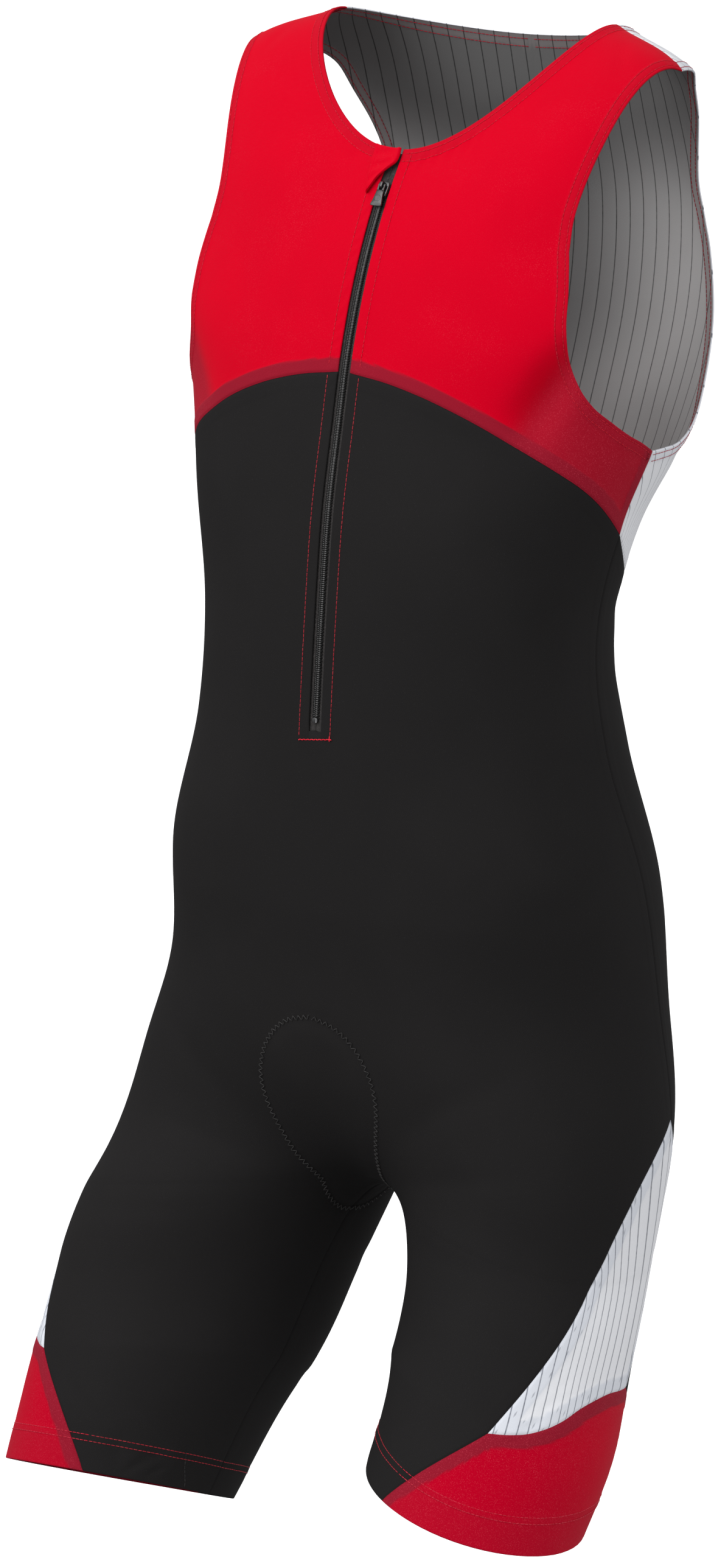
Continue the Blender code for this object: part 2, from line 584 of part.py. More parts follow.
SLIDER_BODY = [(-3.0, -5.5), (3.0, -5.5), (4.0, -4.0), (3.9, 0.0), (3.3, 5.0), (-3.3, 5.0),
               (-3.9, 0.0), (-4.0, -4.0)]                        # left, down
BRIDGE = [(-4.7, 1.4), (-4.7, 3.9), (-4.0, 4.6), (-1.0, 4.6), (-0.3, 3.9), (-0.3, 1.4),
          (-1.3, 1.4), (-1.3, 3.7), (-3.7, 3.7), (-3.7, 1.4)]    # down, out
PULL_PLATE = [(-2.5, 0.8), (2.5, 0.8), (2.8, 4.0), (3.4, 7.5), (4.2, 10.6), (3.9, 11.5),
              (-3.9, 11.5), (-4.2, 10.6), (-3.4, 7.5), (-2.8, 4.0)]
PULL_ARM = [(1.3, -3.1), (2.5, -3.1), (2.5, 1.1), (1.3, 1.1)]


def slider_and_pull():
    frame = zip_frame(SLIDER_AT)
    body = block("zip_slider", "zip_lacquer", frame, SLIDER_BODY, -1.0, 1.6, 2)
    united(body, [block("slider_bridge", "zip_lacquer", frame, BRIDGE, -1.0, 1.0, 0)])
    plate = block("zip_pull", "zip_lacquer", frame, PULL_PLATE, 2.25, 3.35, 2)
    arms = [block("pull_arm_left", "zip_lacquer", frame, PULL_ARM, 2.25, 3.35, 2),
            block("pull_arm_right", "zip_lacquer", frame,
                  [(-x, t) for x, t in PULL_ARM[::-1]], 2.25, 3.35, 2),
            block("pull_pin", "zip_lacquer", frame,
                  [(-3.1, 2.25), (-1.9, 2.25), (-1.9, 3.35), (-3.1, 3.35)], -1.6, 1.6, 0)]
    united(plate, arms)
    block("zip_stop", "zip_lacquer", zip_frame(STOP_AT), [(-2.2, -1.2), (2.2, -1.2), (2.2, 1.2), (-2.2, 1.2)],
          -0.9, 0.7, 2)


# ---- build -------------------------------------------------------------------
for obj in list(bpy.data.objects):
    bpy.data.objects.remove(obj, do_unlink=True)
bpy.context.scene.collection.children.link(COLLECTION)

for side, label in SIDES:
    front_yoke(side, label)
    thigh_panel(side, label)
    cuff(side, label)
back_yoke()
front_body()
back_body()
zip_parts()
flap()
slider_and_pull()
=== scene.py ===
from math import cos, pi, radians, sin

import bmesh
import bpy
import numpy as np
from mathutils import Matrix, Vector


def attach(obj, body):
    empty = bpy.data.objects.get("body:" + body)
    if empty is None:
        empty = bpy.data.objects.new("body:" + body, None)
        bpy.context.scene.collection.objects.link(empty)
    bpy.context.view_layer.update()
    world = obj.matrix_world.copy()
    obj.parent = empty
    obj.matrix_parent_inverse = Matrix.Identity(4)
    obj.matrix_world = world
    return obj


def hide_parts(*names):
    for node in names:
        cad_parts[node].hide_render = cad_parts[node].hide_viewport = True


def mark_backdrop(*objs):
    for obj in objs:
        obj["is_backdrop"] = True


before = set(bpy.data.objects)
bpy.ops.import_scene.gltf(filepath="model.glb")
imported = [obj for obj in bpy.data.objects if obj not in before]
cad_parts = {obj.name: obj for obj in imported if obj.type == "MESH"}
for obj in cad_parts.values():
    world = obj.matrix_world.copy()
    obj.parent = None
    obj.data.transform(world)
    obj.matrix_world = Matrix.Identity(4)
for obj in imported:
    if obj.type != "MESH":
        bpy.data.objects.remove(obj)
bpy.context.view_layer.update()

# The looks of a sleeveless triathlon suit, filled out as when worn. Metres, in the frame of the
# CAD: +Z up, the front faces -Y, the wearer's left is +X. A place on the cloth is an angle round
# the half ring (0 centre front or inseam, 90 side, 180 centre back) and a ring height.

# ---- sizes ----
CM, MM = 0.01, 0.001
WALL = 0.0010          # the solids' cloth with its turnings
SEAM = 0.0003          # gap between sewn pieces
ZIP_HALF = 0.0045      # half of the tape that shows
TAPE_HALF = 0.0100
ZIP_END = 0.436        # where the slit for the zip ends, as a ring height
V_RISE, V_CROTCH, V_HEM = 0.60, 0.77, 0.985
ROW, COL = 0.005, 3.0  # spacing of the form's own rings (m) and columns (degrees)
DEGREE = 0.0028        # metres round the form in a degree, about
# Rings of the body. height: name of the ring, its depth below the neckline or the shoulders.
# Then the points where it crosses the side, the centre front and the centre back, in cm,
# and how far the quarters between them are fuller than an ellipse.
BODY = [
    # height, side x, side y, side z, front y, front z, back y, back z, full front, full back
    (0, 10.2, .6, .3, -7.1, -8, 6.8, -.7, .01, .06),
    (.06, 16, -.8, -2.3, -8.8, -11.5, 8.6, -5.5, .01, .06),
    (.12, 18.1, -.6, -8.5, -10.2, -15.5, 10.6, -10.9, .03, .08),
    (.18, 18.9, -.5, -16, -11.2, -20, 10.7, -17.2, .06, .08),
    (.24, 17.1, -1.1, -23.5, -11.8, -25, 9, -24, .03, .07),
    (.3, 14.8, -2.7, -30, -12.3, -30, 6.9, -30, .07, .06),
    (.37, 13.5, -3.1, -37, -12.4, -37, 6.4, -37, .06, .07),
    (.44, 14, -2.4, -44, -12.3, -44, 8.2, -44, .05, .09),
    (.52, 16.1, -1, -52, -12.1, -52, 10.5, -52, .06, .08),
    (.6, 17, .4, -60, -11.7, -60, 11.9, -60, .03, .06),
    (.67, 18.6, -.2, -67, -11.4, -67, 11.4, -67, .03, .06),
    (.77, 19.1, -1.4, -77, -10, -77, 9.4, -77, .05, .06),
]
# Rings of the legs, in cm. skew turns the section's long way towards the outer front.
LEG_LEFT = [
    # height, centre x, centre y, half width, half depth, skew, inseam z, outer z, front above back
    (.6, 9.3, .2, 9.3, 11.8, 0, -60, -60, 0),
    (.7, 9.3, .3, 9.4, 11, .5, -69, -70, 0),
    (.77, 9.3, .2, 9.3, 10.1, 1, -73, -77, 1),
    (.81, 10.1, -1.1, 9, 9.5, 1.1, -76, -80, 2),
    (.85, 11.1, -2.8, 8.4, 9.2, 1, -79.3, -83, 2.6),
    (.92, 13, -6.3, 7.6, 8.4, .8, -83.9, -87.8, 2.2),
    (.985, 13.8, -9.8, 6.9, 7.9, .4, -88.5, -91.8, 1.1),
]
LEG_RIGHT = [
    (.6, 9.3, .2, 9.3, 11.8, 0, -60, -60, 0),
    (.7, 9.8, -.1, 9.6, 11.6, .6, -69, -70, 0),
    (.77, 10, -1.8, 10, 11.1, 1, -73, -77, 1.5),
    (.81, 10.6, -3.5, 9.4, 10.4, 1.2, -76.8, -80.6, 3),
    (.85, 11.1, -5, 8.7, 9.6, 1.3, -81, -84.4, 4.2),
    (.92, 12.5, -8, 7.7, 8.4, .6, -87.5, -90, 4.9),
    (.985, 13.5, -10.3, 7.2, 7.8, 0, -94.2, -95.4, 5.2),
]

# Seams and edges: angle round the half ring and ring height.
SHOULDER_ANGLE, STRAP_END = 93.0, 0.058
ARMHOLE_FRONT = [(93, .058), (82, .055), (70, .058), (59.5, .069), (50.5, .091),
                 (46, .115), (44.5, .15), (45.5, .189), (53, .217), (67, .238),
                 (87.5, .254)]
ARMHOLE_BACK = [(93, .058), (110, .054), (125, .058), (134, .079), (141, .109),
                (140, .144), (137, .179), (128, .219), (110, .247), (87.5, .254)]
SIDE_UPPER = [(87.5, .254), (91, .278), (95, .304)]
ARCH_FRONT = [(0, .199), (8, .203), (15, .21), (27, .226), (42, .248),
              (53, .262), (65, .275), (80, .29), (95, .304)]
ARCH_BACK = [(95, .304), (107, .32), (125, .335), (150, .346), (180, .35)]
SIDE_LOWER = [(95, .304), (98, .4), (101, .52), (105, .673)]
THIGH_FRONT = [(105, .673), (94, .692), (84.2, .724), (79.2, .757), (75, .794),
               (67.5, .849), (58, .902)]
THIGH_BACK = [(105, .673), (111, .7), (112.5, .74), (108, .79), (100, .855)]
CUFF_TOP = [(58, .902), (66.6, .893), (74.7, .879), (80.5, .865), (88, .855), (100, .855)]
CUFF_FRONT = [(58, .902), (51, .926), (42.8, .955), (34.5, .985)]
CUFF_BACK = [(100, .855), (114, .885), (128, .935), (138, .985)]
# Where the seams meet: at the centre front and back, at the side, and round the thigh panel.
ARCH, BACK_ARCH = ARCH_FRONT[0][1], ARCH_BACK[-1][1]
SIDE_ANGLE, SIDE = ARCH_FRONT[-1]
LEAF_TOP, FRONT_CORNER = SIDE_LOWER[-1][1], CUFF_TOP[0][1]
# The flap over the zip's top, in cm from the centre front: ring height, plain edge, folded edge.
FLAP = [(0.000, -1.58, 0.40), (0.008, -1.56, 0.47), (0.0155, -1.53, 0.37), (0.0215, -1.49, 0.0),
        (0.030, -1.40, -0.47), (0.042, -1.25, -0.84), (0.049, -1.17, -1.04)]
FLAP_LIFT = 0.0014     # how far the folded edge stands off more than the plain one
SLIDER_AT, COIL_TOP, STOP_AT = 0.044, 0.0535, 0.4295


def table(rows, at):
    """Values of a table's rows at the given places of its first column, on a smooth curve."""
    rows = np.array(rows, float)
    x, y = rows[:, 0], rows[:, 1:]
    at = np.clip(np.asarray(at, float), x[0], x[-1])
    step = np.diff(x)
    rise = np.diff(y, axis=0) / step[:, None]
    slope = np.empty_like(y)
    slope[0], slope[-1] = rise[0], rise[-1]
    if len(x) > 2:
        share = (step[1:] / (step[1:] + step[:-1]))[:, None]
        slope[1:-1] = rise[:-1] * share + rise[1:] * (1 - share)
    i = np.clip(np.searchsorted(x, at, side="right") - 1, 0, len(x) - 2)
    s = ((at - x[i]) / step[i])[..., None]
    h = step[i][..., None]
    return ((1 + 2 * s) * (1 - s) ** 2 * y[i] + s * (1 - s) ** 2 * h * slope[i]
            + s * s * (3 - 2 * s) * y[i + 1] + s * s * (s - 1) * h * slope[i + 1])


def along(rows, n):
    """n + 1 places evenly along an edge given by its angles and heights."""
    rows = np.array(rows, float)
    length = np.append(0, np.cumsum(np.hypot(np.diff(rows[:, 0]) * DEGREE, np.diff(rows[:, 1]))))
    curve = np.column_stack([length, rows])
    return table(curve, np.linspace(0, length[-1], n + 1))


# ---- the form ----
CROTCH_RING = int(round(V_CROTCH / ROW))
# The fork is eased between these ring heights, fading in and out, over so many rounds.
EASE_FROM, EASE_TO, EASE_FADE, EASE_ROUNDS = 0.55, 0.90, 0.06, 160
PROBE_DEG, PROBE_HEIGHT = 0.75, 0.002  # how far to each side a normal is measured


def body_ring(height, phi):
    sx, sy, sz, fy, fz, by, bz, full_f, full_b = table(BODY, height)
    s, c = np.sin(phi), np.cos(phi)
    front = c >= 0
    full = 1 + np.where(front, full_f, full_b) * np.sin(2 * phi) ** 2
    out_y = np.where(front, fy, by) - sy
    out_z = np.where(front, fz, bz) - sz
    return np.stack([sx * s * full, sy + out_y * abs(c) * full, sz + out_z * c * c], -1) * CM


def leg_ring(rows, height, phi):
    cx, cy, rx, ry, skew, z_in, z_out, tip = table(rows, height)
    c, s = np.cos(2 * phi), np.sin(2 * phi)
    z = (z_in + z_out) / 2 - (z_out - z_in) / 2 * c + tip / 2 * s
    return np.stack([cx - rx * c + skew * s, cy - ry * s + skew * c, z], -1) * CM


def form_grid():
    """Outer face of the whole suit, [side, ring, column, xyz]; side 0 is the wearer's left."""
    heights = np.arange(0, V_HEM + ROW / 2, ROW)
    phi = np.radians(np.arange(0, 180 + COL / 2, COL))
    grid = np.zeros((2, len(heights), len(phi), 3))
    for side, legs in enumerate((LEG_LEFT, LEG_RIGHT)):
        for i, height in enumerate(heights):
            mix = np.clip((height - V_RISE) / (V_CROTCH - V_RISE), 0, 1)
            mix = 1 - cos(mix * pi / 2)
            grid[side, i] = ((1 - mix) * body_ring(height, phi)
                             + mix * leg_ring(legs, max(height, V_RISE), phi))
    grid[1, :, :, 0] *= -1
    fade_in, fade_out = (np.clip(rise / EASE_FADE, 0, 1)
                         for rise in (heights - EASE_FROM, EASE_TO - heights))
    deg = np.degrees(phi)[None, :]
    near_seam = np.clip(1 - np.minimum(deg, 180 - deg) / 60, 0.08, 1)
    ease = ((fade_in * fade_out)[:, None] * near_seam)[None, :, :, None]
    for _ in range(EASE_ROUNDS):
        padded = pad_columns(grid)
        up = np.concatenate([grid[:, :1], grid[:, :-1]], 1)
        down = np.concatenate([grid[:, 1:], grid[:, -1:]], 1)
        mean = (up + down) / 2 * 0.5 + (padded[:, :, :-2] + padded[:, :, 2:]) / 2 * 0.5
        grid = grid + 0.5 * ease * (mean - grid)
        ends = (grid[:, CROTCH_RING:, 0] + grid[:, CROTCH_RING:, -1]) / 2
        ends[:, 0] = ends[:, 0].mean(0)
        grid[:, CROTCH_RING:, 0] = grid[:, CROTCH_RING:, -1] = ends
    return grid


def pad_columns(grid):
    """The grid with one more column at each end: the other half above the crotch, the ring's
    own far end below it."""
    first, last = (np.concatenate([grid[::-1, :CROTCH_RING, other], grid[:, CROTCH_RING:, own]], 1)
                   for other, own in ((1, -2), (-2, 1)))
    return np.concatenate([first[:, :, None], grid, last[:, :, None]], 2)


FORM = pad_columns(form_grid())


def weights(t):
    return np.stack([-t / 2 + t * t - t ** 3 / 2, 1 - 2.5 * t * t + 1.5 * t ** 3,
                     t / 2 + 2 * t * t - 1.5 * t ** 3, (t ** 3 - t * t) / 2], -1)


def point(side, deg, height):
    """Point of the outer face at an angle and a ring height (arrays)."""
    deg, height = np.broadcast_arrays(np.asarray(deg, float), np.asarray(height, float))
    rings, columns = FORM.shape[1], FORM.shape[2] - 2
    r = np.clip(height / ROW, 0, rings - 1 - 1e-9)
    c = np.clip(deg / COL, 0, columns - 1 - 1e-9)
    i, j = np.floor(r).astype(int), np.floor(c).astype(int)
    wr, wc = weights(r - i), weights(c - j)
    total = np.zeros(deg.shape + (3,))
    for a in range(4):
        row = np.clip(i + a - 1, 0, rings - 1)
        for b in range(4):
            col = np.clip(j + b, 0, columns + 1)
            total += (wr[..., a] * wc[..., b])[..., None] * FORM[side, row, col]
    return total


def normal(side, deg, height):
    """Outward normal of the form."""
    deg, height = np.broadcast_arrays(np.asarray(deg, float), np.asarray(height, float))
    d0, d1 = (np.clip(deg + step, 0, 180) for step in (-PROBE_DEG, PROBE_DEG))
    h0, h1 = (np.clip(height + step, 0, V_HEM) for step in (-PROBE_HEIGHT, PROBE_HEIGHT))
    across = point(side, d1, height) - point(side, d0, height)
    down = point(side, deg, h1) - point(side, deg, h0)
    out = np.cross(down, across) * (1 if side == 0 else -1)
    middle = (np.minimum(deg, 180 - deg) < 1e-6) & (height < V_CROTCH - 1e-6)
    out[..., 0] = np.where(middle, 0, out[..., 0])
    return out / np.maximum(np.linalg.norm(out, axis=-1, keepdims=True), 1e-12)


def across_angle(x, height):
    """Angle at which the form is x metres from the centre front."""
    return np.degrees(np.arcsin(abs(x) / (table(BODY, height)[..., 0] * CM)))


def zip_angle(height):
    return across_angle(ZIP_HALF, height)


# ---- panels ----
def coons(top, bottom, left, right):
    """Places inside four edges; top and bottom run left to right, left and right downwards."""
    s = np.linspace(0, 1, len(top))[None, :, None]
    t = np.linspace(0, 1, len(left))[:, None, None]
    return ((1 - t) * top[None] + t * bottom[None] + (1 - s) * left[:, None] + s * right[:, None]
            - (1 - s) * (1 - t) * top[0] - s * (1 - t) * top[-1]
            - (1 - s) * t * bottom[0] - s * t * bottom[-1])


def eased(places, turns=60):
    """Spreads the inner places of a net evenly, so that none of its cells folds over."""
    p = places * (DEGREE, 1)
    for _ in range(turns):
        across = (p[1:-1, 2:] - p[1:-1, :-2]) / 2
        down = (p[2:, 1:-1] - p[:-2, 1:-1]) / 2
        a, c, b = ((u * v).sum(-1, keepdims=True)
                   for u, v in ((down, down), (across, across), (across, down)))
        mixed = (p[2:, 2:] - p[2:, :-2] - p[:-2, 2:] + p[:-2, :-2]) / 4
        p[1:-1, 1:-1] = (a * (p[1:-1, 2:] + p[1:-1, :-2]) + c * (p[2:, 1:-1] + p[:-2, 1:-1])
                         - 2 * b * mixed) / (2 * (a + c))
    return p / (DEGREE, 1)


ACROSS, LEAF_ACROSS = 12, 9    # columns of the yokes and bodies, and of the thigh panels and cuffs
NECK_ROWS, FRONT_ROWS, UNDER_ROWS = 8, 9, 4
ROW_COUNTS = (9, 8, 6, 9, 6)   # rows of the bodies between the corners of their seams
SLIT_ROW, THIGH_ROW, CROTCH_ROW, CORNER_ROW = np.cumsum(ROW_COUNTS[:-1]).tolist()
ROW_SHARES = np.concatenate([np.linspace(k, k + 1, n + 1)[k > 0:] for k, n in enumerate(ROW_COUNTS)])
SLIT_SIDE = float(np.interp(ZIP_END, [ARCH, V_CROTCH], [SIDE, V_CROTCH]))


def row_heights(*stops):
    """Ring heights of the bodies' rows, from those of the seam corners."""
    return np.interp(ROW_SHARES, range(len(stops)), stops)


def inward(height, arch):
    """Ring height on the centre line that belongs to one on the side seam."""
    return np.interp(height, [SIDE, V_CROTCH], [arch, V_CROTCH])


def at_height(rows, height):
    """Angle of an edge at a ring height, for an edge whose height only grows."""
    return table(np.array(rows, float)[:, ::-1], height)[..., 0]


def outer_edge(corner, beside_leaf, beside_cuff):
    """Places down a body's outer edge: the side seam, then the thigh panel's edge and the cuff's."""
    places = []
    for height in row_heights(SIDE, SLIT_SIDE, LEAF_TOP, V_CROTCH, corner[1], V_HEM):
        line = SIDE_LOWER if height <= LEAF_TOP else beside_leaf if height < corner[1] else beside_cuff
        places.append((at_height(line, height), height))
    places[CORNER_ROW] = corner
    return np.array(places, float)


FRONT_OUTER = outer_edge(CUFF_TOP[0], THIGH_FRONT, CUFF_FRONT)
BACK_OUTER = outer_edge(CUFF_TOP[-1], THIGH_BACK, CUFF_BACK)
FRONT_INNER = row_heights(ARCH, ZIP_END, inward(LEAF_TOP, ARCH), V_CROTCH, FRONT_CORNER, V_HEM)
BACK_INNER = row_heights(BACK_ARCH, inward(SLIT_SIDE, BACK_ARCH), inward(LEAF_TOP, BACK_ARCH), V_CROTCH,
                         FRONT_CORNER, V_HEM)


def yoke_places(front):
    """Net of half a yoke, from the strap's end down, the centre line first."""
    top = np.linspace((SHOULDER_ANGLE, 0), (SHOULDER_ANGLE, STRAP_END), ACROSS + 1)
    down = np.linspace(0, ARCH if front else BACK_ARCH, FRONT_ROWS + UNDER_ROWS + 1)
    centre = np.column_stack([zip_angle(down) if front else np.full(len(down), 180.0), down])
    neck = np.linspace((SHOULDER_ANGLE, 0), centre[0], NECK_ROWS + 1)
    arm = along(ARMHOLE_FRONT if front else ARMHOLE_BACK, NECK_ROWS + FRONT_ROWS)
    side = along(SIDE_UPPER, UNDER_ROWS)
    angle = np.linspace(centre[-1, 0], SIDE_ANGLE, ACROSS + 1)
    bottom = np.column_stack([angle, table(ARCH_FRONT if front else ARCH_BACK, angle)[:, 0]])
    bottom[0, 1] = down[-1]
    return eased(coons(top, bottom, np.vstack([neck, centre[1:]]), np.vstack([arm, side[1:]])))


def body_places(front):
    """Net of half a body; in front, column 0 is the centre front and column 1 the zip's edge."""
    outer, inner = (FRONT_OUTER, FRONT_INNER) if front else (BACK_OUTER, BACK_INNER)
    arch = ARCH_FRONT if front else ARCH_BACK[::-1]
    start, top = arch[0]
    fading = 14.0 if front else 10.0       # rows over which the arch's curve fades out
    share = np.linspace(0, 1, ACROSS + 1)
    places = []
    for i, (far, low) in enumerate(outer):
        if front:
            near = zip_angle(min(inner[i], V_RISE))
            share = np.append(0.0, np.linspace(near, far, ACROSS + 1) / far)
        bow = table(sorted(arch), start + (SIDE_ANGLE - start) * share)[:, 0]
        bow -= top + (SIDE - top) * share
        height = inner[i] + (low - inner[i]) * share + bow * max(0.0, 1 - i / fading)
        places.append(np.column_stack([start + (far - start) * share, height]))
    if front:
        places[0][:2, 1] = ARCH
    return np.array(places)


def outer_places(cuff):
    """Net of a thigh panel, or of the cuff below it."""
    rows = slice(CORNER_ROW, None) if cuff else slice(THIGH_ROW, CORNER_ROW + 1)
    front, back, seam = FRONT_OUTER[rows], BACK_OUTER[rows], along(CUFF_TOP, LEAF_ACROSS)
    if cuff:
        return coons(seam, np.linspace(front[-1], back[-1], LEAF_ACROSS + 1), front, back)
    return coons(np.repeat(front[:1], LEAF_ACROSS + 1, 0), seam, front, back)


# ---- zip frame ----
def across_front(x, height, out):
    """Points at distances x (m) from the centre front, moved out from the form."""
    x, height, out = np.broadcast_arrays(*(np.asarray(a, float) for a in (x, height, out)))
    deg = across_angle(x, height)
    left, right = (point(side, deg, height) + normal(side, deg, height) * out[..., None] for side in (0, 1))
    return np.where((x >= 0)[..., None], left, right)


def zip_frame(height):
    """Centre front point, and the directions to the wearer's left, down the zip and out."""
    out = normal(0, 0.0, height)
    down = point(0, 0.0, height + 2 * PROBE_HEIGHT) - point(0, 0.0, height - 2 * PROBE_HEIGHT)
    down /= np.linalg.norm(down)
    return point(0, 0.0, height), np.array([1.0, 0, 0]), down, out


# Outlines of the slider and the pull in the zip's frame, mm: left and down, or down and out.
SLIDER_BODY = [(-3.0, -5.5), (3.0, -5.5), (4.0, -4.0), (3.9, 0.0), (3.3, 5.0), (-3.3, 5.0),
               (-3.9, 0.0), (-4.0, -4.0)]
BRIDGE = [(-4.7, 1.4), (-4.7, 3.9), (-4.0, 4.6), (-1.0, 4.6), (-0.3, 3.9), (-0.3, 1.4),
          (-1.3, 1.4), (-1.3, 3.7), (-3.7, 3.7), (-3.7, 1.4)]
PULL_PLATE = [(-2.5, 0.8), (2.5, 0.8), (2.8, 4.0), (3.4, 7.5), (4.2, 10.6), (3.9, 11.5),
              (-3.9, 11.5), (-4.2, 10.6), (-3.4, 7.5), (-2.8, 4.0)]
PULL_ARM = [(1.3, -3.1), (2.5, -3.1), (2.5, 1.1), (1.3, 1.1)]


# ---- cloth ----
CLOTH = 0.0007         # one ply of the knit
# Hem of the neck and armholes, and of the legs: the turned edge and its two rows of stitches, mm.
HEM_ROWS, LEG_ROWS = (2.2, 6.8), (17.6, 21.4)
HEMS = {"hem": (7.8, HEM_ROWS), "leg_hem": (22.5, LEG_ROWS)}
ALLOWANCE = 8.6        # seam allowance that shows through as a duller band, mm
ZIP_ROW = 7.2          # stitches beside the zip, mm from the folded edge
PAD_DEGREES = 300      # degrees round the form in a metre, near the fork

# Outline of the seat pad about the crotch: direction (0 up the front, 180 down the inseam) and
# reach in metres.
PAD = [(0, .152), (10, .147), (19, .134), (27, .115), (35, .086), (54, .055), (72, .041),
       (110, .032), (180, .026)]


def ramp(low, high, x):
    """0 below low, 1 above high, smooth between."""
    t = np.clip((x - low) / (high - low), 0, 1)
    return t * t * (3 - 2 * t)


def bump(x, centre, half_width):
    return np.exp(-((x - centre) / half_width) ** 2)


NEAR, BATCH = 0.04, 3000               # metres beyond which a line does nothing; points at a time


def nearest(points, line):
    """Distance of each point from a polyline, and how far along it the nearest place is."""
    piece = np.diff(line, axis=0)
    length = np.maximum(np.linalg.norm(piece, axis=1), 1e-9)
    run = np.append(0, np.cumsum(length))
    flat = points.reshape(-1, 3)
    gap, place = np.full(len(flat), 1.0), np.zeros(len(flat))
    near = np.all((flat > line.min(0) - NEAR) & (flat < line.max(0) + NEAR), axis=1).nonzero()[0]
    for part in np.array_split(near, max(1, len(near) // BATCH)):
        p = flat[part]
        first = (((p[:, None] - line[None]) ** 2).sum(-1)).argmin(1)
        for k in (first - 1, first):
            k = np.clip(k, 0, len(piece) - 1)
            t = np.clip(((p - line[k]) * piece[k]).sum(1) / length[k] ** 2, 0, 1)
            d = np.linalg.norm(p - line[k] - t[:, None] * piece[k], axis=1)
            closer = d < gap[part]
            gap[part] = np.where(closer, d, gap[part])
            place[part] = np.where(closer, run[k] + t * length[k], place[part])
    return gap.reshape(points.shape[:-1]), place.reshape(points.shape[:-1])


def edge_form(kind, d, run):
    """What an edge does to the cloth at d mm from it: (raised, cut, pucker) in mm."""
    wave = np.sin(2 * pi * run / 0.0061 + 1.9 * np.sin(2 * pi * run / 0.043))
    rolled = 0.45 * (1 - np.sqrt(np.clip(1 - np.clip(1 - d / 0.9, 0, 1) ** 2, 0, 1)))
    if kind == "zip":
        slant = np.sin(2 * pi * (run - d * 0.0011) / 0.0105 + 2.0 * np.sin(2 * pi * run / 0.061))
        raised = 0.30 * ramp(ZIP_ROW + 1.2, ZIP_ROW + 0.4, d)
        return raised, 0.18 * bump(d, ZIP_ROW, 0.6) + rolled, 0.16 * slant * bump(d, 4.2, 3.2)
    if kind in HEMS:
        turn, rows = HEMS[kind]
        raised = 0.42 * ramp(turn + 0.5, turn - 0.4, d)
        cut = sum(0.20 * bump(d, row, 0.7) for row in rows) + rolled
        if kind == "hem":
            return raised, cut, 0.07 * wave * ramp(9.5, 6.5, d) * ramp(0, 2, d)
        slow = np.sin(2 * pi * run / 0.019 + 2.3 * np.sin(2 * pi * run / 0.11))
        return raised, cut, (0.07 * wave + 0.14 * slow) * bump(d, 21.0, 6.0)
    height, far, near = (0.34, 0.5, 0.4) if kind == "band" else (0.16, 0.6, 1.0)
    valley = 0.60 * np.exp(-(d / 0.9) ** 2)
    return height * ramp(ALLOWANCE + far, ALLOWANCE - near, d), valley, np.zeros_like(d)


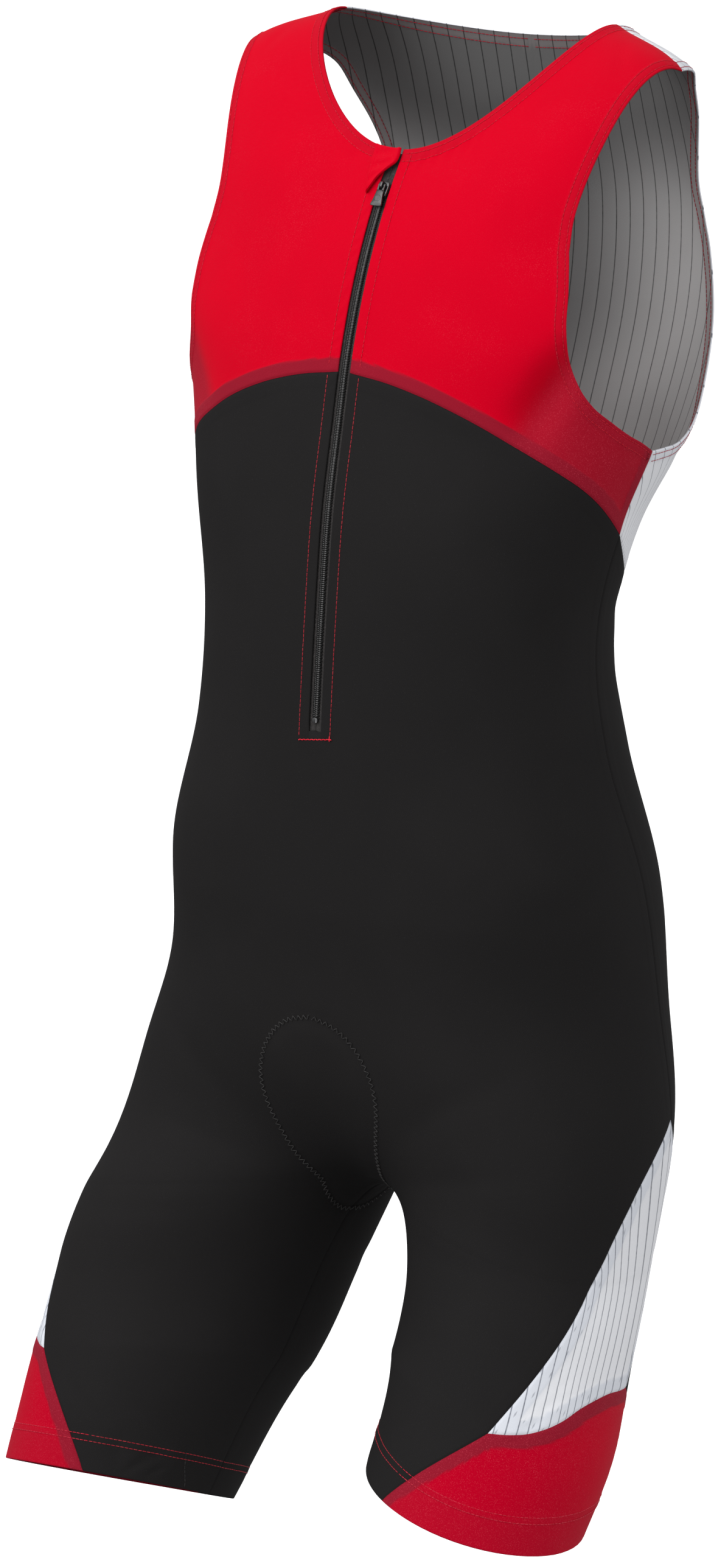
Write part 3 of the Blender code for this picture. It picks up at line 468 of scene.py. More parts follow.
# Creases: side, from angle and height, to angle and height, bow sideways (share of the length),
# depth in mm (below 0 is a trough) and half width in mm.
CREASES = [
    # pulls beside the zip's top, down from the neckline
    (0, 9.5, .004, 6.5, .022, .1, -.9, 2), (0, 14, .004, 8.8, .031, .08, -.9, 2),
    (0, 19, .005, 12.5, .031, .1, -.8, 2), (0, 24, .005, 17.5, .028, .06, -.7, 2),
    (0, 29, .006, 23, .025, .05, -.6, 2), (0, 34, .006, 28, .021, .05, -.4, 2),
    (1, 15, .005, 11.5, .03, -.08, -.7, 2.2), (1, 20.5, .005, 16, .026, -.05, -.5, 2),
    # underarm: a hollow where the chest turns to the side, and drag lines from the side seam
    (0, 48.5, .187, 41.5, .246, 0, -9.5, 13), (1, 49, .185, 42.5, .245, 0, -1.5, 14),
    (0, 84, .262, 58, .236, .1, -.55, 5), (1, 83, .264, 60, .238, .08, -.5, 5),
    (0, 103, .262, 128, .24, .1, -.7, 6), (1, 104, .264, 126, .243, .12, -.65, 6),
    # waist and flank
    (0, 62, .48, 92, .425, .1, -1.3, 13), (0, 50, .54, 84, .505, .08, -.9, 11),
    (1, 70, .47, 94, .43, .08, -1, 12), (1, 58, .548, 86, .512, .1, -.8, 11),
    (0, 150, .372, 98, .352, .05, -1.1, 9), (1, 146, .376, 99, .35, .06, -1, 9),
    (0, 171, .405, 118, .392, -.05, -.9, 9), (1, 168, .4, 121, .396, -.04, -.9, 9),
    (0, 164, .438, 132, .43, .06, -.6, 8), (1, 160, .432, 128, .436, .05, -.6, 8),
    # groin, from the fork out and up to the hip
    (0, 16, .715, 56, .628, -.08, -1.1, 10), (1, 18, .712, 58, .632, -.08, -1.1, 10),
    (0, 20, .748, 60, .7, -.08, -.7, 7), (1, 22, .744, 58, .706, -.08, -.7, 7),
    (0, 30, .79, 62, .775, .06, -.5, 6), (1, 30, .792, 60, .782, .06, -.5, 6),
    # under the seat, and the inner thigh
    (0, 166, .748, 128, .726, .1, -1.4, 10), (1, 166, .746, 130, .728, .1, -1.3, 10),
    (0, 160, .784, 126, .776, .08, -.9, 8), (1, 161, .786, 128, .774, .08, -.9, 8),
    (0, 168, .826, 140, .838, .06, -.6, 7), (1, 166, .828, 141, .836, .06, -.6, 7),
    # knee side of the legs
    (0, 140, .905, 172, .893, .08, -.7, 7), (1, 142, .903, 171, .896, .08, -.7, 7),
    (0, 20, .948, 38, .912, .08, -.5, 4), (0, 30, .94, 44, .905, .1, -.5, 3.5),
    (1, 22, .946, 38, .915, .08, -.4, 4), (1, 30, .955, 46, .922, .08, -.5, 3.5),
    # short puckers where the thigh panels are sewn on
    (0, 61, .902, 68, .884, .2, -.8, 3), (0, 65, .89, 71, .868, .15, -.7, 2.6),
    (0, 68, .872, 74, .856, .15, -.5, 2.4), (0, 71, .855, 76, .842, .15, -.4, 2.2),
    (1, 60, .898, 67, .88, .2, -.7, 3), (1, 64, .884, 70, .866, .15, -.7, 2.8),
    (1, 72, .846, 78, .83, .15, -.7, 2.6), (1, 70, .828, 77, .818, .15, -.6, 2.4),
    (1, 71, .806, 77, .798, .15, -.5, 2.2), (0, 108, .76, 101, .775, .15, -.4, 2.6),
    (1, 109, .764, 102, .78, .15, -.4, 2.6),
    # cuffs
    (0, 96, .868, 74, .925, .1, -.6, 7), (1, 96, .868, 74, .922, .1, -.6, 7),
    (0, 120, .9, 108, .95, .1, -.5, 6), (1, 118, .902, 106, .948, .1, -.5, 6),
    # hems that stand off a little
    (0, 18, .985, 20, .958, .05, .7, 6), (1, 26, .985, 28, .955, .05, -.8, 6),
    (1, 14, .985, 15, .96, .05, .6, 7), (0, 152, .985, 150, .955, .05, -.8, 7),
    (1, 154, .985, 153, .955, .05, -.7, 7), (0, 84, .985, 83, .96, .05, .5, 8),
    (1, 25.5, .984, 17, .965, .05, -1, 2.8), (1, 19.5, .983, 14.5, .971, .05, -.7, 2.2),
    (0, 154.5, .984, 163, .965, .05, -.9, 2.8), (0, 160.5, .983, 165.5, .971, .05, -.6, 2.2),
    # shoulder straps and back yoke
    (0, 80, .02, 66, .046, .05, -.5, 5), (1, 80, .022, 64, .044, .05, -.5, 5),
    (0, 112, .018, 128, .048, .05, -.6, 5), (1, 113, .018, 127, .05, .05, -.6, 5),
    (0, 128, .1, 150, .15, .08, -.6, 9), (1, 129, .104, 150, .154, .08, -.6, 9),
    (0, 120, .262, 152, .21, .08, -.8, 9), (1, 121, .26, 150, .214, .08, -.8, 9),
]


def crease_relief(side, base):
    """Sum of the creases near these points, in mm."""
    total = np.zeros(base.shape[:-1])
    for owner, deg_a, height_a, deg_b, height_b, bow, depth, half in CREASES:
        if owner != side:
            continue
        t = np.linspace(0, 1, 25)
        lean = bow * np.sin(pi * t)
        deg = deg_a + (deg_b - deg_a) * t - (height_b - height_a) / DEGREE * lean
        height = height_a + (height_b - height_a) * t + (deg_b - deg_a) * DEGREE * lean
        line = point(side, deg, height)
        d, run = nearest(base, line)
        share = run / max(np.linalg.norm(np.diff(line, axis=0), axis=1).sum(), 1e-6)
        taper = np.sin(pi * np.clip(share, 0.02, 0.98)) ** 0.8
        total += depth * bump(d / MM, 0, half) * taper
    return total


def pad_line(side, front):
    """Places along the seat pad's outline on one side, from the centre line to the inseam."""
    turn = np.radians(np.linspace(0, 180, 90))
    reach = table(PAD, np.degrees(turn))[:, 0]
    deg = PAD_DEGREES * reach * np.sin(turn)
    return np.column_stack([deg if front else 180 - deg, V_CROTCH - reach * np.cos(turn)])


PAD_LINES = {(side, front): pad_line(side, front) for side in (0, 1) for front in (True, False)}


def pad_relief(side, deg, height, base):
    """The stitched edge of the pad and the soft swelling inside it, in mm."""
    front = deg < 90
    x = np.where(front, deg, 180 - deg) / PAD_DEGREES
    y = V_CROTCH - height
    turn = np.degrees(np.arctan2(x, y))
    inside = np.hypot(x, y) < table(PAD, turn)[..., 0]
    total = np.zeros(deg.shape)
    for on_front in (True, False):
        line = PAD_LINES[side, on_front]
        d, run = nearest(base, point(side, line[:, 0], line[:, 1]))
        here = front == on_front
        d = d / MM
        swell = np.where(inside, 1.1 * ramp(0.5, 9.0, d), 0.0)
        tuck = 0.10 * np.sin(2 * pi * run / 0.0075) * bump(d, 2.2, 1.6)
        total += np.where(here, swell - 0.45 * bump(d, 0, 1.3) + tuck, 0.0)
    return total


def relief(side, deg, height, base, edges):
    """How far the cloth stands off the form, in mm, and how much of a seam's band lies here."""
    raised, cut, pucker, band, hem = (np.zeros(base.shape[:-1]) for _ in range(5))
    for kind, line in edges:
        d, run = nearest(base, line)
        up, down, wave = edge_form(kind, d / MM, run)
        raised, cut = np.maximum(raised, up), np.maximum(cut, down)
        pucker += wave
        if kind == "band":
            band = np.maximum(band, ramp(ALLOWANCE + 0.35, ALLOWANCE - 0.35, d / MM))
        if kind in HEMS:
            turn = HEMS[kind][0]
            hem = np.maximum(hem, ramp(turn + 0.4, turn - 0.4, d / MM))
    total = raised - cut + pucker + crease_relief(side, base)
    if height.max() > V_RISE:
        total += pad_relief(side, deg, height, base)
    return total, band, hem


def lining_lift(stand, hem):
    """How far the inner face follows the outer one, in mm: less over what stands up."""
    return np.minimum(0.55 * stand, stand + 0.3) - 0.25 * hem


# ---- nets ----
def spread(rows, at, corners):
    """Rows of a net at fractional row numbers, on smooth curves between the given corners."""
    out = np.zeros((len(at),) + rows.shape[1:])
    stops = [0, *corners, len(rows) - 1]
    for low, high in zip(stops[:-1], stops[1:]):
        pick = (at >= low) & (at <= high)
        part = rows[low:high + 1].reshape(high - low + 1, -1)
        keyed = np.column_stack([np.arange(low, high + 1), part])
        out[pick] = table(keyed, at[pick]).reshape((-1,) + rows.shape[1:])
    return out


CLOSE = [0, .02, .05, .09, .14, .20, .27, .34, .41, .48, .55, .63, .72, .86]


def finer(low, high, per):
    """Fractional line numbers from low to high, per for each coarse line, close at both ends."""
    inner = np.linspace(low + 1, high - 1, (high - low - 2) * per + 1)
    close = np.array(CLOSE)
    return np.concatenate([low + close, inner, (high - close)[::-1]])


def fine_net(places, down, across, row_corners=(), column_corners=()):
    net = spread(places, down, row_corners)
    return spread(net.transpose(1, 0, 2), across, column_corners).transpose(1, 0, 2)


def girths():
    """Length round each ring of the form from its first column, [side, ring, column]."""
    inner = FORM[:, :, 1:-1]
    step = np.linalg.norm(np.diff(inner, axis=2), axis=-1)
    return np.concatenate([np.zeros(step.shape[:2] + (1,)), np.cumsum(step, axis=2)], axis=2)


GIRTHS = girths()


def girth(side, deg, height):
    """Length round the ring from the centre front or the inseam to a place."""
    r = np.clip(height / ROW, 0, GIRTHS.shape[1] - 1 - 1e-9)
    c = np.clip(deg / COL, 0, GIRTHS.shape[2] - 1 - 1e-9)
    i, j = np.floor(r).astype(int), np.floor(c).astype(int)
    a, b = r - i, c - j
    g = GIRTHS[side]
    return ((1 - a) * ((1 - b) * g[i, j] + b * g[i, j + 1])
            + a * ((1 - b) * g[i + 1, j] + b * g[i + 1, j + 1]))


STRIPE_PITCH = 0.011
# Below the armholes the back's stripes lean with the side seam: how much, from which ring height
# down, and between which distances from the centre back this sets in.
LEAN, LEAN_HEIGHT, LEAN_FROM, LEAN_TO = 1.3, 0.250, 0.150, 0.200
LEG_SIDE = 100.0       # angle from which the thigh panels' stripes are measured
# The thigh panels' stripes stand closer towards the front: mm round from the leg's side, stripes.
THIGH_STRIPES = [
    (-121, -15.0), (-100, -12.0), (-81, -9.0), (-65.3, -6.0), (-53.2, -4.0), (-46, -3.0),
    (-37.5, -2.0), (-26.5, -1.0), (-11, 0.0), (4.5, 1.0), (18, 2.0), (30, 3.0), (41, 4.0),
    (52, 5.0), (118, 11.0),
]


def stripe_place(side, deg, height):
    """Where a place lies across the pinstripes: from the centre back, or from the thigh's side."""
    here = girth(side, deg, height)
    if height.max() < V_RISE:
        place = girth(side, np.full_like(deg, 180.0), height) - here
        place += LEAN * ramp(LEAN_FROM, LEAN_TO, place) * np.maximum(height - LEAN_HEIGHT, 0)
        return place * (1, -1)[side]
    beyond = here - girth(side, np.full_like(deg, LEG_SIDE), height)
    return table(THIGH_STRIPES, beyond / MM)[..., 0] * STRIPE_PITCH * (1, -1)[side]


# ---- pieces ----
def placed(piece):
    """Puts a new object in the scene."""
    bpy.context.scene.collection.objects.link(piece)
    return piece


def mesh_object(name, points, faces, *finishes, smooth=True):
    """A new mesh in the scene, in the first of its finishes."""
    mesh = bpy.data.meshes.new(name)
    mesh.from_pydata(np.asarray(points).tolist(), [], faces)
    for finish in finishes:
        mesh.materials.append(finish)
    mesh.polygons.foreach_set("use_smooth", np.full(len(mesh.polygons), smooth))
    mesh.update()
    return placed(bpy.data.objects.new(name, mesh))


def trim(piece, material_slot, *nodes, body="suit"):
    """Says what a piece rides on and the nodes that it stands for."""
    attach(piece, body)
    if nodes:
        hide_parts(*nodes)
    return piece


def cells(numbers):
    """The four-sided faces of a grid of point numbers."""
    corners = numbers[:-1, :-1], numbers[1:, :-1], numbers[1:, 1:], numbers[:-1, 1:]
    return np.stack(corners, -1).reshape(-1, 4)


def belt(a, b, n):
    """The faces between two rings of n points, numbered from a and from b."""
    return [[a + i, a + (i + 1) % n, b + (i + 1) % n, b + i] for i in range(n)]


def shell(name, halves, shared, finishes):
    """A thin closed sheet of cloth from one or two halves; shared marks the rows of column 0
    where the second half meets the first."""
    outers, inners, faces, facts = [], [], [], []
    count, first = 0, None
    for half in halves:
        side, present = half["side"], half["present"]
        deg, height = half["net"][..., 0], half["net"][..., 1]
        base, out = point(side, deg, height), normal(side, deg, height)
        stand, band, hem = relief(side, deg, height, base, half["edges"])
        fresh, numbers = present.copy(), np.full(present.shape, -1)
        if first is not None:
            fresh[:, 0] &= ~shared
            numbers[shared, 0] = first[shared, 0]
        numbers[fresh] = count + np.arange(fresh.sum())
        first = numbers
        count += int(fresh.sum())
        outers.append((base + out * (stand * MM)[..., None])[fresh])
        inners.append((base + out * (lining_lift(stand, hem) * MM - CLOTH)[..., None])[fresh])
        round_it = girth(side, deg, height) * (1, -1)[side]
        facts.append(np.stack([round_it, height, band, hem, stripe_place(side, deg, height)])[:, fresh])
        quads = cells(numbers)
        quads = quads[(quads >= 0).all(1)]
        faces.append(quads if side == 0 else quads[:, ::-1])
    faces, facts = np.concatenate(faces), np.concatenate(facts, axis=1)
    ends = np.concatenate([faces[:, [k, (k + 1) % 4]] for k in range(4)])
    known = set(map(tuple, ends.tolist()))
    rim = sorted((a, b) for a, b in known if (b, a) not in known and a != b)
    rims = np.array([(b, a, a + count, b + count) for a, b in rim])
    everything = np.concatenate([faces, faces[:, ::-1] + count, rims])
    corners = [[v for i, v in enumerate(face) if v != face[i - 1]] for face in everything.tolist()]
    piece = mesh_object(name, np.concatenate(outers + inners), corners, *finishes)
    index = np.zeros(len(corners), int)
    index[len(faces):2 * len(faces)] = 1
    piece.data.polygons.foreach_set("material_index", index)
    for label, values in zip(("round", "drop", "band", "hem", "stripe"), facts):
        layer = piece.data.attributes.new(label, "FLOAT", "POINT")
        layer.data.foreach_set("value", np.tile(values, 2))
    return piece


# ---- sewing ----
THREAD = 0.00025       # radius of the sewing thread
STRIDE = 0.004         # metres that a line is moved over the cloth at a time
REACHES = 0.5, 0.001   # degrees and metres over which a slope of the form is measured
SAMPLES = 8            # points along a running stitch
STITCH_PITCH, STITCH_LENGTH = 0.0029, 0.0026
BAR = [(0.0, 0.45), (0.22, 1.0), (0.78, 1.0), (1.0, 0.45)]    # shares of a bar's length and radius


def unit(vectors):
    return vectors / np.maximum(np.linalg.norm(vectors, axis=-1, keepdims=True), 1e-12)


def bars(name, starts, ends, radius, finish, sides=5):
    """Short tapered bars of thread or wire from starts to ends, joined in one mesh."""
    starts, ends = np.asarray(starts), np.asarray(ends)
    way = unit(ends - starts)
    a = unit(np.cross(way, np.where(abs(way[:, 2:]) < 0.8, [[0.0, 0.0, 1.0]], [[1.0, 0.0, 0.0]])))
    b = np.cross(way, a)
    turn = (np.arange(sides) * 2 * pi / sides)[None, :, None]
    ring = a[:, None] * np.cos(turn) + b[:, None] * np.sin(turn)
    rings = [(starts + (ends - starts) * s)[:, None] + radius * wide * ring for s, wide in BAR]
    faces = [face for k in range(len(BAR) - 1) for face in belt(k * sides, (k + 1) * sides, sides)]
    per = len(BAR) * sides
    faces += [list(range(sides))[::-1], list(range(per - sides, per))]
    everything = [[v + k * per for v in face] for k in range(len(starts)) for face in faces]
    return mesh_object(name, np.concatenate(rings, axis=1).reshape(-1, 3), everything, finish)


def sewn(name, pairs, finish, material_slot, radius=THREAD, sides=5):
    """Stitches between pairs of points, as one piece."""
    return trim(bars(name, *zip(*pairs), radius, finish, sides), material_slot)


def derivative(side, places, axis):
    """How the form runs on from these places with the angle (axis 0) or the height (axis 1)."""
    low, high = places.copy(), places.copy()
    reach, top = REACHES[axis], (180.0, V_HEM)[axis]
    low[:, axis] = np.clip(low[:, axis] - reach, 0, top)
    high[:, axis] = np.clip(high[:, axis] + reach, 0, top)
    rise = point(side, high[:, 0], high[:, 1]) - point(side, low[:, 0], low[:, 1])
    return rise / np.maximum(high[:, axis] - low[:, axis], 1e-9)[:, None]


def inset(side, line, beside, distance):
    """A line of places moved over the cloth towards the line beside it."""
    here = line.astype(float)
    toward = point(side, beside[:, 0], beside[:, 1]) - point(side, line[:, 0], line[:, 1])
    count = int(distance / STRIDE) + 1
    for _ in range(count):
        tangent = unit(np.gradient(point(side, here[:, 0], here[:, 1]), axis=0))
        way = np.cross(normal(side, here[:, 0], here[:, 1]), tangent)
        way *= np.sign((way * toward).sum())
        a, b = derivative(side, here, 0), derivative(side, here, 1)
        aa, bb, ab, aw, bw = ((u * v).sum(1) for u, v in ((a, a), (b, b), (a, b), (a, way), (b, way)))
        det = np.maximum(aa * bb - ab * ab, 1e-18)
        step = np.column_stack([aw * bb - bw * ab, bw * aa - aw * ab]) / det[:, None]
        moved = np.linalg.norm(a * step[:, :1] + b * step[:, 1:], axis=1)
        here += step * (distance / count / np.maximum(moved, 1e-12))[:, None]
        here = np.clip(here, (0, 0), (180, V_HEM))
    return here


def on_cloth(side, line, edges, lift, inner=False):
    """Points of a line of places on the finished cloth, and its normals there."""
    deg, height = line[:, 0], line[:, 1]
    base, out = point(side, deg, height), normal(side, deg, height)
    stand, _, hem = relief(side, deg, height, base, edges)
    depth = lining_lift(stand, hem) * MM - CLOTH - lift if inner else stand * MM + lift
    return base + out * depth[:, None], out


def even(line, side, pitch):
    """Places along a line, `pitch` metres apart."""
    base = point(side, line[:, 0], line[:, 1])
    run = np.append(0, np.cumsum(np.linalg.norm(np.diff(base, axis=0), axis=1)))
    at = np.arange(pitch * 0.5, run[-1], pitch)
    return np.column_stack([np.interp(at, run, line[:, k]) for k in range(2)])


def run_stitches(side, line, edges, inner=False):
    """Starts and ends of a row of running stitches."""
    dense = even(line, side, STITCH_PITCH / SAMPLES)
    points, _ = on_cloth(side, dense, edges, THREAD * 0.55, inner)
    gap = int(round(SAMPLES * STITCH_LENGTH / STITCH_PITCH))
    return [(points[k], points[k + gap]) for k in range(0, len(points) - gap, SAMPLES)]


def zigzag_stitches(side, line, edges, width, pitch, lift=THREAD * 0.6):
    """Starts and ends of stitches that cross a line to and fro."""
    points, out = on_cloth(side, even(line, side, pitch), edges, lift)
    across = unit(np.cross(out, np.gradient(points, axis=0)))
    swing = points + across * (width / 2) * np.where(np.arange(len(points)) % 2, 1, -1)[:, None]
    return list(zip(swing[:-1], swing[1:]))


# ---- halves of the panels ----
def half_panel(side, net, edges, hems, down=None, present=None):
    """Half a cloth piece or a whole one: its net, its edges as points, and the line and the line
    beside it that each of its hem rows follows."""
    present = np.ones(net.shape[:2], bool) if present is None else present
    edges = [(kind, point(side, line[:, 0], line[:, 1])) for kind, line in edges]
    return {"side": side, "net": net, "edges": edges, "hems": hems, "down": down, "present": present}


def yoke_half(side, front):
    corner, per = NECK_ROWS + FRONT_ROWS, 8 if front else 5
    down = finer(0, corner + UNDER_ROWS, per)
    net = fine_net(yoke_places(front), down, finer(0, ACROSS, per), (NECK_ROWS, corner))
    neck, arm = down <= NECK_ROWS, down <= corner
    seam = "band" if front else "seam"
    edges = [("seam", net[0]), ("hem", net[neck, 0]), ("hem", net[arm, -1]),
             (seam, net[down >= corner, -1]), (seam, net[-1])]
    if front:
        edges.append(("zip", net[down >= NECK_ROWS, 0]))
    return half_panel(side, net, edges, [(net[neck, 0], net[neck, 1]), (net[arm, -1], net[arm, -2])], down)


def body_half(side, front):
    places = body_places(front)
    first, last = int(front), len(places) - 1
    down, across = finer(0, last, 5), finer(first, first + ACROSS, 4)
    if front:
        across = np.concatenate([[0, .25, .5, .75], across])
    net = fine_net(places, down, across, (THIGH_ROW, CORNER_ROW), (first,) if front else ())
    start = int((across < first).sum())
    present = np.ones(net.shape[:2], bool)
    edges = [("seam", net[0, start:]), ("leg_hem", net[-1])]
    for low, high in ((0, THIGH_ROW), (THIGH_ROW, CORNER_ROW), (CORNER_ROW, last)):
        edges.append(("seam", net[(down >= low) & (down <= high), -1]))
    edges.append(("seam", net[down >= CROTCH_ROW, 0]))
    if front:
        present[np.ix_(down < SLIT_ROW, across < 1)] = False
        edges.append(("zip", net[down <= SLIT_ROW, start]))
        edges.append(("zip", net[down == SLIT_ROW][0, :start + 1]))
    return half_panel(side, net, edges, [(net[-1], net[-2])], down, present)


TIP = 0.02             # how far a thigh panel's upper tip is opened, in rows


def outer_panel(side, cuff):
    """A thigh panel, or the cuff below it."""
    places = outer_places(cuff)
    if not cuff:
        places[0] += (places[1] - places[0]) * TIP
    net = fine_net(places, finer(0, len(places) - 1, 4), finer(0, LEAF_ACROSS, 4))
    if cuff:
        edges = [("band", net[0]), ("band", net[:, 0]), ("band", net[:, -1]), ("leg_hem", net[-1])]
        return half_panel(side, net, edges, [(net[-1], net[-2])])
    return half_panel(side, net, [("band", net[:, 0]), ("band", net[:, -1]), ("band", net[-1])], [])


# ---- zip ----
TAPE_SET = -(WALL + SEAM)      # outer face of the tape below the form
TAPE_TOP, TAPE_END = 0.004, ZIP_END + 0.008
TAPE_COLUMNS = (.00015, .0008, .0016, .0021, .0025, .0029, .0035, .0045, .006, .008, TAPE_HALF)
COIL_PITCH = 0.00120


def plate(name, outer, inner, finish):
    """A closed sheet between two nets of points, [row, column, xyz], facing out."""
    far = outer.shape[0] * outer.shape[1]
    number = np.arange(far).reshape(outer.shape[:2])
    loop = np.concatenate([number[:, 0], number[-1, 1:], number[-2::-1, -1], number[0, -2:0:-1]])
    following = np.roll(loop, -1)
    rims = np.stack([loop, loop + far, following + far, following], -1)
    faces = np.concatenate([cells(number), cells(number)[:, ::-1] + far, rims])
    points = np.concatenate([outer.reshape(-1, 3), inner.reshape(-1, 3)])
    return mesh_object(name, points, faces.tolist(), finish)


def tape(name, sign, finish):
    """One half of the zip's tape: a flat twill strip with a bead where the coil is sewn."""
    rows = np.linspace(TAPE_TOP, TAPE_END, 300)[:, None]
    x = np.sort(sign * np.array(TAPE_COLUMNS))[None]
    bead = 0.16 * bump(abs(x) / MM, 2.35, 0.35)
    ripple = 0.10 * np.sin(rows / 0.0021) * ramp(0.420, 0.436, rows) * ramp(1.5, 3.5, abs(x) / MM)
    wave = 0.05 * np.sin(rows / 0.0034 + 2 * np.sin(rows / 0.021))
    out = TAPE_SET + (bead + ripple + wave) * MM
    outer = across_front(x, rows, out)
    inner = across_front(x, rows, np.broadcast_to(TAPE_SET - 0.0007, out.shape))
    return plate(name, outer, inner, finish)


def zip_bars(name, at, rows, radius, finish, sides):
    """Rows of bars down the zip; each row's start and end are its x, shift down and lift."""
    starts, ends = ([p for row in rows for p in across_front(row[k][0], at + row[k][1], row[k][2])]
                    for k in (0, 1))
    return bars(name, starts, ends, radius, finish, sides)


def coil(finish):
    """The two rows of turns: long slanted backs on the wearer's left, short heads on the right."""
    rows = [((-0.00010, 0.00030, -0.00002), (0.00150, -0.00030, -0.00030)),
            ((-0.00062, 0.00006, -0.00002), (-0.00128, -0.00006, -0.00030))]
    at = np.arange(COIL_TOP, STOP_AT - 0.0025, COIL_PITCH)
    return zip_bars("zip_coil_turns", at, rows, 0.00034, finish, 8)


def coil_cords(finish):
    """The cords inside the turns, and the two rows of thread that hold them on the tape, in a near-black
    that is partly painted shade for the gaps and grooves about the turns.
    """
    rows = [((x, 0, lift), (x, reach, lift))
            for x, lift, reach in ((-0.0009, -0.0009, 0.0022), (0.0009, -0.0009, 0.0022),
                                   (-0.00195, -0.0008, 0.0017), (0.00195, -0.0008, 0.0017))]
    at = np.arange(COIL_TOP - 0.002, STOP_AT, 0.0020)
    return zip_bars("zip_coil_cords", at, rows, 0.00060, finish, 6)


def rounded(corners):
    """A closed outline through corner points, rounded by two rounds of corner cutting."""
    ring = np.array(corners, float)
    for _ in range(2):
        following = np.roll(ring, -1, axis=0)
        ring = np.stack([ring * 0.75 + following * 0.25, ring * 0.25 + following * 0.75], 1).reshape(-1, 2)
    return ring


FACE_RINGS = (1.0, 0.8, 0.5, 0.2)      # rings of a prism's end faces, as shares of its outline
SHARP = radians(40)                    # edges sharper than this are bevelled


def prism(place, outline, low, high, finish, bevel, crown=0.0, axis=2, name="prism"):
    """A rounded prism along an axis of the zip's frame, in mm; crown lifts the middle of its top."""
    outline = np.asarray(outline, float)
    middle, n = outline.mean(0), len(outline)
    points, faces = [], []
    for level, lift, way in ((low, 0.0, -1), (high, crown, 1)):
        for share in FACE_RINGS:
            if share < FACE_RINGS[0]:
                faces += [face[::way] for face in belt(len(points) - n, len(points), n)]
            flat = middle + (outline - middle) * share
            for mm in np.insert(flat, axis, level + lift * (1 - share ** 2), axis=1):
                points.append(place[0] + sum(place[k + 1] * mm[k] * MM for k in range(3)))
        faces.append(list(range(len(points) - n, len(points)))[::way])
    faces += belt(0, len(FACE_RINGS) * n, n)
    piece = mesh_object(name, points, faces, finish)
    solid = bmesh.new()
    solid.from_mesh(piece.data)
    bmesh.ops.recalc_face_normals(solid, faces=solid.faces)
    solid.to_mesh(piece.data)
    solid.free()
    rounding = piece.modifiers.new("rounding", "BEVEL")
    rounding.width, rounding.segments, rounding.limit_method = bevel * MM, 3, "ANGLE"
    rounding.angle_limit = SHARP
    rounding.harden_normals = False
    return piece


def merged(name, pieces):
    """Joins pieces, with their modifiers applied, into one object."""
    graph = bpy.context.evaluated_depsgraph_get()
    whole = bmesh.new()
    for piece in pieces:
        whole.from_mesh(piece.evaluated_get(graph).to_mesh())
    mesh = bpy.data.meshes.new(name)
    whole.to_mesh(mesh)
    whole.free()
    mesh.materials.append(pieces[0].data.materials[0])
    for piece in pieces:
        bpy.data.objects.remove(piece)
    return placed(bpy.data.objects.new(name, mesh))


def slider(finish):
    place = zip_frame(SLIDER_AT)
    post = [(-1.1, -5.3), (1.1, -5.3), (0.5, -1.6), (-0.5, -1.6)]
    pieces = [prism(place, rounded(SLIDER_BODY), 0.5, 1.5, finish, 0.25, 0.12),
              prism(place, rounded(SLIDER_BODY), -1.0, -0.2, finish, 0.2),
              prism(place, rounded(post), -0.6, 0.9, finish, 0.1),
              prism(place, BRIDGE, -0.95, 0.95, finish, 0.22, axis=0)]
    for s in (-1, 1):
        wall = [(s * 3.0, -3.8), (s * 3.9, -3.8), (s * 3.7, 3.6), (s * 3.1, 4.4)]
        pieces.append(prism(place, rounded(wall), -0.4, 1.0, finish, 0.15))
    return merged("zip_slider_metal", pieces)


def pull(finish):
    """Bell-shaped tab with a raised lip round its foot, hung in the slider's bridge."""
    place = zip_frame(SLIDER_AT)
    lip = [(-3.9, 9.9), (3.9, 9.9), (3.8, 11.1), (-3.8, 11.1)]
    rib = [(-2.0, 4.3), (2.0, 4.3), (2.4, 8.4), (-2.4, 8.4)]
    pin = [(-3.1, 2.3), (-1.9, 2.3), (-1.9, 3.3), (-3.1, 3.3)]
    pieces = [prism(place, rounded(PULL_PLATE), 2.3, 3.25, finish, 0.28, 0.10),
              prism(place, rounded(lip), 3.0, 3.55, finish, 0.22),
              prism(place, rounded(rib), 3.0, 3.45, finish, 0.2),
              prism(place, pin, -1.7, 1.7, finish, 0.2, axis=0)]
    for s in (-1, 1):
        pieces.append(prism(place, [(s * x, t) for x, t in PULL_ARM], 2.3, 3.3, finish, 0.2))
    return merged("zip_pull_tab", pieces)


def stop(name, left, right, reach, *rest):
    """The staple across both rows of the coil, or the raised ridge on it, whose bright colour is a painted
    glint.
    """
    outline = [(left, -reach), (right, -reach), (right, reach), (left, reach)]
    return prism(zip_frame(STOP_AT), rounded(outline), *rest, name=name)


def garage(finish):
    """The turned flap over the zip's top, rolled over at its folded edge."""
    rows = np.linspace(FLAP[0][0], FLAP[-1][0], 60)[:, None]
    plain, fold = np.moveaxis(table(FLAP, rows) * CM, -1, 0)
    share = np.linspace(0, 1, 40)[None]
    x = plain + (fold - plain) * share
    lift = 0.0017 + FLAP_LIFT * share ** 2
    roll = 0.00075 * bump(share, 0.93, 0.06) - 0.0008 * ramp(0.965, 1.0, share)
    sewn_down = -0.0002 * bump(share, 0.16, 0.03)
    draw = 0.00042 * np.sin(rows / 0.0021 + share * 4) * bump(share, 0.40, 0.36)
    ends = -0.0005 * (bump(rows, rows[0], 0.0008) + bump(rows, rows[-1], 0.0008))
    outer = across_front(x, rows, lift + roll + sewn_down + draw + ends)
    return plate("zip_garage_flap", outer, across_front(x, rows, lift - 0.0011 + 0.2 * roll), finish)


